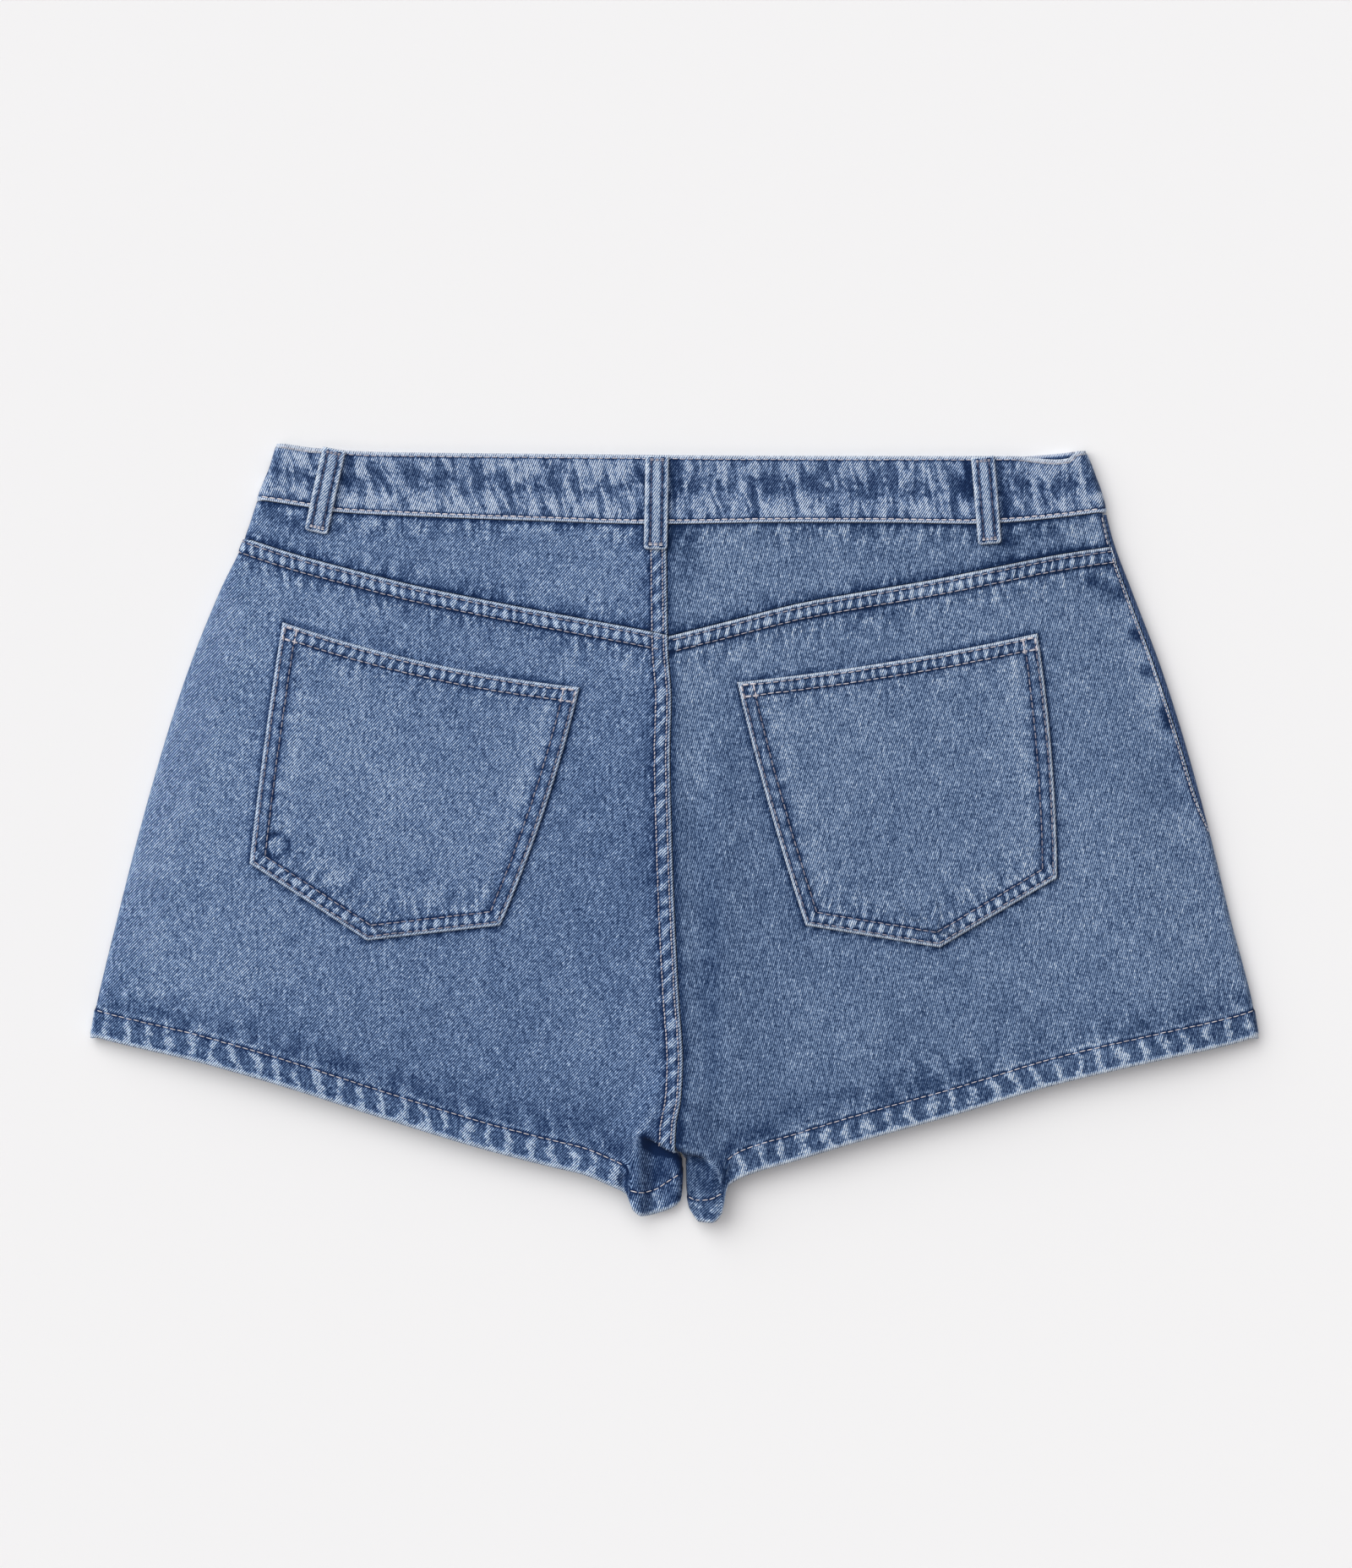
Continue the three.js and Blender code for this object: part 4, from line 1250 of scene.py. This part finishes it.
def denim(name, lines, grain, shift=0.0, tint=(1, 1, 1), gathers=PUCKERS):
    """Denim whose twill lines and grain stand out this much, lighter or darker by shift."""
    material, n, shader = new_material(name, CLOTH_GLOSS)
    weave = n.add("ShaderNodeGroup", node_tree=TWILL)
    puckers = n.add("ShaderNodeGroup", node_tree=gathers)
    for label, group in (("Twill", weave), ("Cloth", weave), ("Seam", puckers)):
        place = n.add("ShaderNodeUVMap", uv_map=label)
        n.put(place.outputs[0], group.inputs[label + " place"])
    worn = {
        label: n.add("ShaderNodeAttribute", attribute_name=label).outputs["Fac"]
        for label in ("wear_and_shade", "pale", "pucker", "fray")
    }
    n.put(worn["pucker"], puckers.inputs["Pucker"])
    n.put(worn["fray"], puckers.inputs["Fray"])
    indigo = n.add("ShaderNodeGroup", node_tree=INDIGO)
    n.put(n.sum(worn["wear_and_shade"], puckers.outputs["Wear"], shift), indigo.inputs["Wear"])
    n.put(worn["pale"], indigo.inputs["Pale"])
    n.put(n.times(weave.outputs["Lines"], lines), indigo.inputs["Lines"])
    n.put(n.times(weave.outputs["Grain"], grain), indigo.inputs["Grain"])
    n.put((*tint, 1.0), indigo.inputs["Tint"])
    n.put(indigo.outputs["Color"], shader["Base Color"])
    relief = n.add("ShaderNodeBump")
    relief.inputs["Strength"].default_value = RELIEF_STRENGTH
    relief.inputs["Distance"].default_value = RELIEF_DEPTH
    height = n.sum(n.times(weave.outputs["Height"], 0.12), puckers.outputs["Height"])
    n.put(height, relief.inputs["Height"])
    n.put(relief.outputs["Normal"], shader["Normal"])
    return material


DENIM = {
    LEFT: denim("Denim, left", 1.15, 0.95, -0.21, (0.95, 1.01, 1.02)),
    RIGHT: denim("Denim, right", 0.82, 0.95, -0.18, (0.98, 0.985, 0.93)),
}
DENIM_BAND = denim("Denim, waistband", 1.0, 0.85, -0.1, (0.97, 0.99, 0.98), BAND_GATHERS)
DENIM_LOOP = denim("Denim, loops", 0.8, 0.7, 0.0, (1.0, 1.0, 0.95))
DENIM_HIDDEN = denim("Denim, underneath", 0.6, 0.5, -0.15)


THREAD_GLOSS = {"Roughness": 0.6, "Sheen Weight": 0.2}
THREAD_SHADES = ((96, 94, 118), (226, 221, 226))


def thread_material():
    """Thread from dull mauve to ecru, by the tone of its row."""
    material, n, shader = new_material("Ecru thread", THREAD_GLOSS)
    place = n.add("ShaderNodeTexCoord").outputs["Object"]
    ply = n.noise(place, (900, 900), 1.0)
    broad_tone = n.noise(place, (60, 60), 1.0)
    row = n.add("ShaderNodeAttribute", attribute_name="tone").outputs["Fac"]
    tone = n.sum(n.times(ply, 0.35), n.times(broad_tone, 0.4), row)
    n.put(n.colours(tone, *(linear(shade) for shade in THREAD_SHADES)), shader["Base Color"])
    return material


THREAD = thread_material()


# ---- The back's pieces ----------------------------------------------------------------------


def fold_edge(side):
    return lambda y: fold_top(side, y)


def side_seam_arc(leg, y):
    """Where a back piece ends round its side."""
    return leg.pick(UNDER_ARC, RIGHT_SEAM(y)) + CURVED_GAP / 2


def build_waistband():
    s, t = stops((430, 1.35)), stops((4, 0.55), (28, 1.1), (4, 0.55))
    x, y = panel(back_waist, lambda x: BAND_SEAM(x) + GAP, fold_edge(-1), fold_edge(1), s, t)
    for side in (-1, 1):
        x, y = round_side(side, x, y, lambda _: UNDER_ARC, 1.2)
    lean = np.where(x < LOOPS["belt_loop_centre"].top[0], 22, 33)
    cloth_piece("waistband_back", x, y, band_finish, lean, FACED, DENIM_BAND)


def build_yoke(leg):
    s = stops((200, 1.4), (14, 1.0))
    t = stops((12, 0.9), (28, 1.7), (12, 0.9))
    lower = lambda x: leg.yoke(x) + GAP
    inner = lambda y: centre_edge(leg, y)
    x, y = leg_panel(leg, BAND_SEAM, lower, fold_edge(leg.side), inner, s, t)
    x, y = round_side(leg.side, x, y, lambda y: side_seam_arc(leg, y), 1.1)
    lean = leg.pick(41, 16)
    cloth_piece("yoke_" + leg.name, x, y, yoke_finish(leg), lean, CLOTH, DENIM[leg])


def build_back(leg):
    """A leg's back, whose cloth leans the other way on the tongue, where its inside shows."""

    def inner(y):
        _, cloth, start = strip(leg, y)
        return start - leg.side * cloth

    plain_inner = lambda y: inner_edge(leg, y)
    plain_lower = lambda x: plain_hem(leg, x)
    s = stops((258, 1.7), (46, 1.05))
    t = stops((26, 1.05), (218, 3.4), (38, 1.1), (26, 1.05))
    x, y = leg_panel(leg, leg.yoke, plain_lower, fold_edge(leg.side), plain_inner, s, t)
    x, y = hang(leg, x, y, t, inner, plain_inner)
    x, y = round_side(leg.side, x, y, lambda y: side_seam_arc(leg, y), 1.3)
    width = mix(12, 1.2, ease((-177 - y) / 6))
    tongue = ease((LIP(x) - y + 1) / 5) * ease((leg.tongue_side(y) - np.abs(x)) / width + 0.5)
    lean = mix(*leg.pick((44, 17), (15.5, 46)), tongue)
    cloth_piece("back_" + leg.name, x, y, back_finish(leg), lean, CLOTH, DENIM[leg], leg)


def build_pocket(name, pocket):
    down = 1 - stops((18, 0.95), (100, 1.9), (18, 0.95))[::-1]
    corners = pocket.corners
    widths = [np.linalg.norm(corners[n + 1] - corners[n]) for n in (2, 3)]
    tip = widths[1] / sum(widths)
    s = stops((16, 0.95), (sum(widths) - 32, 1.25), (16, 0.95))
    s[np.argmin(np.abs(s - tip))] = tip
    t, s = np.meshgrid(down, s, indexing="ij")

    def bottom(share):
        first = pocket.edge(3, np.clip(1 - share / tip, 0, 1))
        second = pocket.edge(2, np.clip(1 - (share - tip) / (1 - tip), 0, 1))
        return np.where((share < tip)[..., None], first, second)

    left = lambda share: pocket.edge(4, 1 - share)
    right = lambda share: pocket.edge(1, share)
    places = patch(lambda share: pocket.edge(0, share), bottom, left, right, s, t)
    x, y = places[..., 0], places[..., 1]
    lean, material = pocket.leg.pick(43, 19), DENIM[pocket.leg]
    cloth_piece(name, x, y, pocket.finish, lean, CLOTH, material, None)


def build_loop(name, loop):
    t, s = np.meshgrid(stops((loop.length, 0.7)), stops((LOOP_WIDTH, 0.5)), indexing="ij")
    into_corner = np.clip(1 - loop.length * (1 - t) / LOOP_CORNER, 0, 1)
    half = LOOP_WIDTH / 2 - LOOP_CORNER * (1 - np.sqrt(1 - into_corner**2))
    x, y = loop.places(loop.length * t, mix(-half, half, s))
    cloth_piece(name, x, y, loop.finish, loop.lean, FACED, DENIM_LOOP, None)


# ---- Pieces underneath ----------------------------------------------------------------------


def flat_piece(name, x, y, z, lean, wall, f):
    """A flat piece of the front with its outer face down. Its columns run from right to left."""
    points = np.stack([x, y, np.full(x.shape, z)], axis=-1)
    sheet = sheet_mesh(name + "_cloth", points, x, y, lean, f, wall)
    dress(sheet, name, x, y, DENIM_HIDDEN)


def build_waistband_front():
    inset = FOLD_RADIUS + UNDER + GAP
    edges = [lambda y, side=side: side_edge(side, y) - side * inset for side in (-1, 1)]
    lower = lambda x: BAND_SEAM(x) + GAP
    x, y = panel(WAIST, lower, *edges, stops((440, 4)), stops((5, 0.6), (30, 5)))
    x, y = x[:, ::-1], y[:, ::-1]
    f = Finish(x, y, 401)
    f.wear_and_shade -= 0.5 * between(WAIST(x) - y, 1.8, 9, 0.8)
    f.edge(WAIST(x) - y, 1.6, 0.9)
    flat_piece("waistband_front", x, y, 0.0, 30, BAND, f)


FRONT_LEAN = -40


def front_top(x):
    return BAND_SEAM(x) - GAP


def build_front(leg):
    def centre(y):
        return mix(leg.side * GAP / 2, inner_edge(leg, y), parted(leg.front_parting, y))

    outer = lambda y: side_edge(leg.side, y) - leg.side * FRONT_INSET
    lower = lambda x: plain_hem(leg, x) + FRONT_SHORTER
    t = stops((320, 6), (50, 1.6))
    x, y = leg_panel(leg, front_top, lower, outer, centre, stops((270, 5), (40, 1.5)), t)
    x, y = hang(leg, x, y, t, centre, centre)
    x, y = x[:, ::-1], y[:, ::-1]
    f = Finish(x, y, 402 + leg.side)
    flat_piece("front_" + leg.name, x, y, SKIRT_LIFT, FRONT_LEAN, CLOTH, f)


def build_skirt():
    """The skirt panel turns up round the right side, as far as the seam."""
    left_x = lambda y: on_side(-1, y, UNDER_ARC - 2 * GAP)[..., 0]
    right_x = lambda y: on_side(1, y, SKIRT_FLAT_ARC)[..., 0]
    s, t = stops((600, 4)), stops((330, 3))
    x, y = panel(front_top, SKIRT_HEM, left_x, right_x, s, t)
    x, y = x[:, ::-1], y[:, ::-1]
    side_y = y[:, :1]
    turn = 1 - stops((20, 0.7))[None, :-1]
    arc = mix(SKIRT_FLAT_ARC, RIGHT_SEAM(side_y) - CURVED_GAP / 2, turn)
    turned_up = on_side(1, side_y + 0 * arc, arc)
    flat = np.stack([x, y, 0 * x], axis=-1)
    points = np.concatenate([turned_up, flat], axis=1)
    flat_x = np.concatenate([x[:, :1] + arc - SKIRT_FLAT_ARC, x], axis=1)
    flat_y = points[..., 1]
    f = Finish(flat_x, flat_y, 405)
    f.wear_and_shade[:, : arc.shape[1]] -= 0.35
    sheet = sheet_mesh("skirt_front_cloth", points, flat_x, flat_y, FRONT_LEAN, f, CLOTH)
    dress(sheet, "skirt_front", flat_x, flat_y, DENIM_HIDDEN)


# ---- Stitching ------------------------------------------------------------------------------


def path_of(x, y, tone=0.6, width=0.7, pitch=STITCH_PITCH, slant=0.0):
    """Stitches along a line of flat places: where they start and end, their tone and width.

    slant is how far each one's end lies further aside than its start.
    """
    line = np.stack([x, y], axis=-1)
    length = np.concatenate([[0], np.cumsum(np.linalg.norm(np.diff(line, axis=0), axis=1))])
    count = max(1, round(length[-1] / pitch))
    middle = (np.arange(count) + 0.5) * length[-1] / count
    half = STITCH_LENGTH / STITCH_PITCH * length[-1] / count / 2
    at = lambda distance: np.stack([np.interp(distance, length, line[:, k]) for k in (0, 1)], -1)
    start, end = at(middle - half), at(middle + half)
    aside = (end - start)[:, ::-1] * (-1, 1) / np.linalg.norm(end - start, axis=1)[:, None]
    start, end = start - aside * slant / 2, end + aside * slant / 2
    return start, end, np.full(count, tone), np.full(count, width)


def stitch_shape():
    """One stitch: a short capsule of 48 faces, lying along X."""
    bm = bmesh.new()
    bmesh.ops.create_uvsphere(bm, u_segments=6, v_segments=6, radius=0.5)
    turn = np.array([v.co for v in bm.verts])[:, [2, 0, 1]]
    bm.verts.index_update()
    faces = [[v.index for v in face.verts] for face in bm.faces]
    bm.free()
    plump = np.sign(turn[:, 0]) * np.abs(turn[:, 0] * 2) ** 0.6 / 2
    return np.column_stack([plump, turn[:, 1], turn[:, 2]]), faces


STITCH, STITCH_FACES = stitch_shape()


def stitching(name, rows, surface):
    """Rows of stitches on a surface, joined into one piece. surface gives points for x, y."""
    starts, ends, tones, widths = (np.concatenate(part) for part in zip(*rows))
    jitter = np.random.default_rng(len(starts)).uniform(-1, 1, (len(starts), 2))
    a, b = surface(*starts.T), surface(*ends.T)
    along = b - a
    size = np.linalg.norm(along, axis=1, keepdims=True)
    along /= size
    aside = np.cross(np.array([0.0, 0.0, 1.0]), along)
    aside /= np.linalg.norm(aside, axis=1, keepdims=True)
    out = np.cross(along, aside)
    middle = surface(*((starts + ends) / 2).T) + aside * jitter[:, :1] * STITCH_SWAY
    lengths = size * (1 + STITCH_UNEVEN * jitter[:, 1:])
    points = (
        middle[:, None]
        + STITCH[None, :, :1] * along[:, None] * lengths[:, None]
        + STITCH[None, :, 1:2] * aside[:, None] * STITCH_WIDTH * widths[:, None, None]
        + STITCH[None, :, 2:] * out[:, None] * STITCH_HEIGHT * 2
        + out[:, None] * STITCH_RISE
    )
    count = len(STITCH)
    faces = [[v + k * count for v in face] for k in range(len(middle)) for face in STITCH_FACES]
    mesh = bpy.data.meshes.new(name)
    mesh.from_pydata((points.reshape(-1, 3) * MM).tolist(), [], faces)
    mesh.polygons.foreach_set("use_smooth", [True] * len(mesh.polygons))
    point_values(mesh, "tone", np.repeat(tones, count))
    mesh.update()
    mesh.materials.append(THREAD)
    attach(new_object(name, mesh), "root")


def on_piece(finish, leg=None):
    return lambda x, y: raised(x, y, finish(x, y).lift, leg)


def offset_row(line, distance, start, end, tone=0.6, width=0.7):
    """A row beside a line across the garment, that far below it, from X to X."""
    x = np.arange(min(start, end), max(start, end), 1.0)
    slope = line(x + 0.5) - line(x - 0.5)
    size = np.hypot(1, slope)
    return path_of(x + distance * slope / size, line(x) - distance / size, tone, width)


def centre_rows(low, high):
    """The two rows of the centre seam's lap."""
    y = np.arange(low, high, 1.0)
    look = {"tone": 0.65, "width": 0.9, "pitch": 2.25, "slant": -0.35}
    return [path_of(CENTRE_SEAM(y) - distance, y, **look) for distance in FELL_ROWS]


def side_row(low, high):
    """The row along the right side seam."""
    y = np.arange(low, high, 1.0)
    return path_of(seam_distance(0, y) - 1.5, y, tone=0.7, width=0.75, pitch=3.0)


def build_band_stitches():
    low = lambda x: BAND_SEAM(x) + GAP
    rows = [
        offset_row(back_waist, 2.1, -214, 222),
        offset_row(low, -2.0, -225, 231, tone=0.8, width=1.0),
    ]
    stitching("waistband_stitches", rows, on_piece(band_finish))


def build_leg_stitches(leg):
    start, end = float(CENTRE_SEAM(110)) + leg.side * 2, leg.pick(-240, 238)
    rows = [offset_row(leg.yoke, distance, start, end, 0.42) for distance in (2.45, 8.45)]
    x = leg.side * np.arange(28.4, 315.0, 1.0)
    rows.append(path_of(x, leg.hem(x) + HEM_ROW, 0.75))
    x = np.arange(*leg.pick((-24.4, 2.2), (7.0, 25.6)), 0.8)
    rows.append(path_of(x, leg.tongue_row(x), 0.85))
    if leg is LEFT:
        rows += centre_rows(-169.0, 108.0)
        yoke_rows = centre_rows(109.0, 166.0)
    else:
        rows.append(side_row(0.0, 150.0))
        yoke_rows = [side_row(156.0, 172.0)]
    stitching("back_" + leg.name + "_stitches", rows, on_piece(back_finish(leg), leg))
    stitching("yoke_" + leg.name + "_stitches", yoke_rows, on_piece(yoke_finish(leg)))


def pocket_row(pocket, n, distance, tone, clear):
    """A row inside edge n of a pocket. clear says how far it stays from each other edge."""
    share = np.linspace(0, 1, 300)
    start, end = pocket.corners[n], pocket.corners[(n + 1) % 5]
    along = (end - start) / np.linalg.norm(end - start)
    inwards = np.array([along[1], -along[0]])
    places = pocket.edge(n, share) + inwards * distance
    rooms = [pocket.place(k, *places.T)[1] - room for k, room in clear.items()]
    keep = places[np.minimum.reduce(rooms) > -0.2]
    return path_of(*keep.T, tone, 0.8)


def build_pocket_stitches(name, pocket):
    """Two rows all round, which cross at the upper corners, where boxes of tacks hold them."""
    near = POCKET_ROWS[0]
    rows = []
    for distance in POCKET_ROWS:
        rows += [
            pocket_row(pocket, 0, distance, 0.5, {1: near, 4: near}),
            pocket_row(pocket, 1, distance, 0.25, {0: near, 2: distance}),
            pocket_row(pocket, 2, distance, 0.3, {1: distance, 3: distance}),
            pocket_row(pocket, 3, distance, 0.3, {2: distance, 4: distance}),
            pocket_row(pocket, 4, distance, 0.25, {0: near, 3: distance}),
        ]
    for side in reversed(pocket.SIDES):
        for distance in TACK_ROWS:
            for along, across, clear in ((0, side, 2.0), (side, 0, 1.6)):
                row = pocket_row(pocket, along, distance, 1.0, {across: clear})
                room = pocket.place(across, *((row[0] + row[1]) / 2).T)[1]
                rows.append(tuple(part[room < TACK_BOX] for part in row))
    stitching(name + "_stitches", rows, on_piece(pocket.finish))


def build_loop_stitches(name, loop):
    """A row down each side, and tacks across both ends."""
    far = np.arange(2.0, loop.length - 2.5, 1.0)
    rows = [path_of(*loop.places(far, aside), -0.1, 0.6) for aside in (-LOOP_ROW, LOOP_ROW)]
    aside = np.arange(-4.2, 4.3, 0.4)
    tacks = ((2.0, 0.3), (2.8, 0.4), (loop.length - 3.4, 0.5), (loop.length - 2.5, 0.9))
    rows += [path_of(*loop.places(far, aside), tone, 0.9, 2.4) for far, tone in tacks]
    stitching(name + "_stitches", rows, on_piece(loop.finish))


# ---- Floor, light and camera ----------------------------------------------------------------


def build_floor():
    mesh = grid_mesh("floor", 2, 2, 4.0)
    gloss = {"Base Color": (0.9, 0.9, 0.9, 1), "Roughness": 0.9, "Specular IOR Level": 0.1}
    mesh.materials.append(new_material("Plain pale floor", gloss)[0])
    new_object("floor", mesh)


def sun(name, azimuth, height, spread, strength, colour):
    """A broad far light from this azimuth, in degrees from +X, this high over the floor."""
    light = bpy.data.lights.new(name, "SUN")
    light.angle = math.radians(spread)
    light.energy = strength
    light.color = colour
    lamp = new_object(name, light)
    lamp.rotation_euler = (math.radians(90 - height), 0, math.radians(azimuth + 90))


def build_light():
    sun("window", 141, 35, spread=70, strength=1.62, colour=(0.98, 1.0, 0.99))
    sun("ceiling", 135, 72, spread=84, strength=1.64, colour=(1.0, 0.98, 0.99))
    world = bpy.data.worlds.new("Soft room")
    world.use_nodes = True
    sky = world.node_tree.nodes["Background"]
    sky.inputs["Color"].default_value = (1.0, 0.97, 0.985, 1)
    sky.inputs["Strength"].default_value = 0.22
    bpy.context.scene.world = world
    bpy.context.scene.view_settings.view_transform = "Standard"


VIEW_HEIGHT = 853 * MM
VIEW_MIDDLE = (0.5 * MM, 26.2 * MM)
LENS = 200.0
SENSOR = 36.0


def build_camera():
    data = bpy.data.cameras.new("overhead")
    data.lens = LENS
    data.sensor_width = SENSOR
    data.clip_end = 20
    camera = new_object("overhead", data)
    camera.location = (*VIEW_MIDDLE, LENS / SENSOR * VIEW_HEIGHT)
    bpy.context.scene.camera = camera


# ---- The garment ----------------------------------------------------------------------------

build_floor()
build_light()
build_camera()
build_waistband()
build_waistband_front()
for leg in LEGS:
    build_yoke(leg)
    build_back(leg)
    build_front(leg)
build_skirt()
for name, pocket in POCKETS.items():
    build_pocket(name, pocket)
for name, loop in LOOPS.items():
    build_loop(name, loop)
build_band_stitches()
for leg in LEGS:
    build_leg_stitches(leg)
for name, pocket in POCKETS.items():
    build_pocket_stitches(name, pocket)
for name, loop in LOOPS.items():
    build_loop_stitches(name, loop)
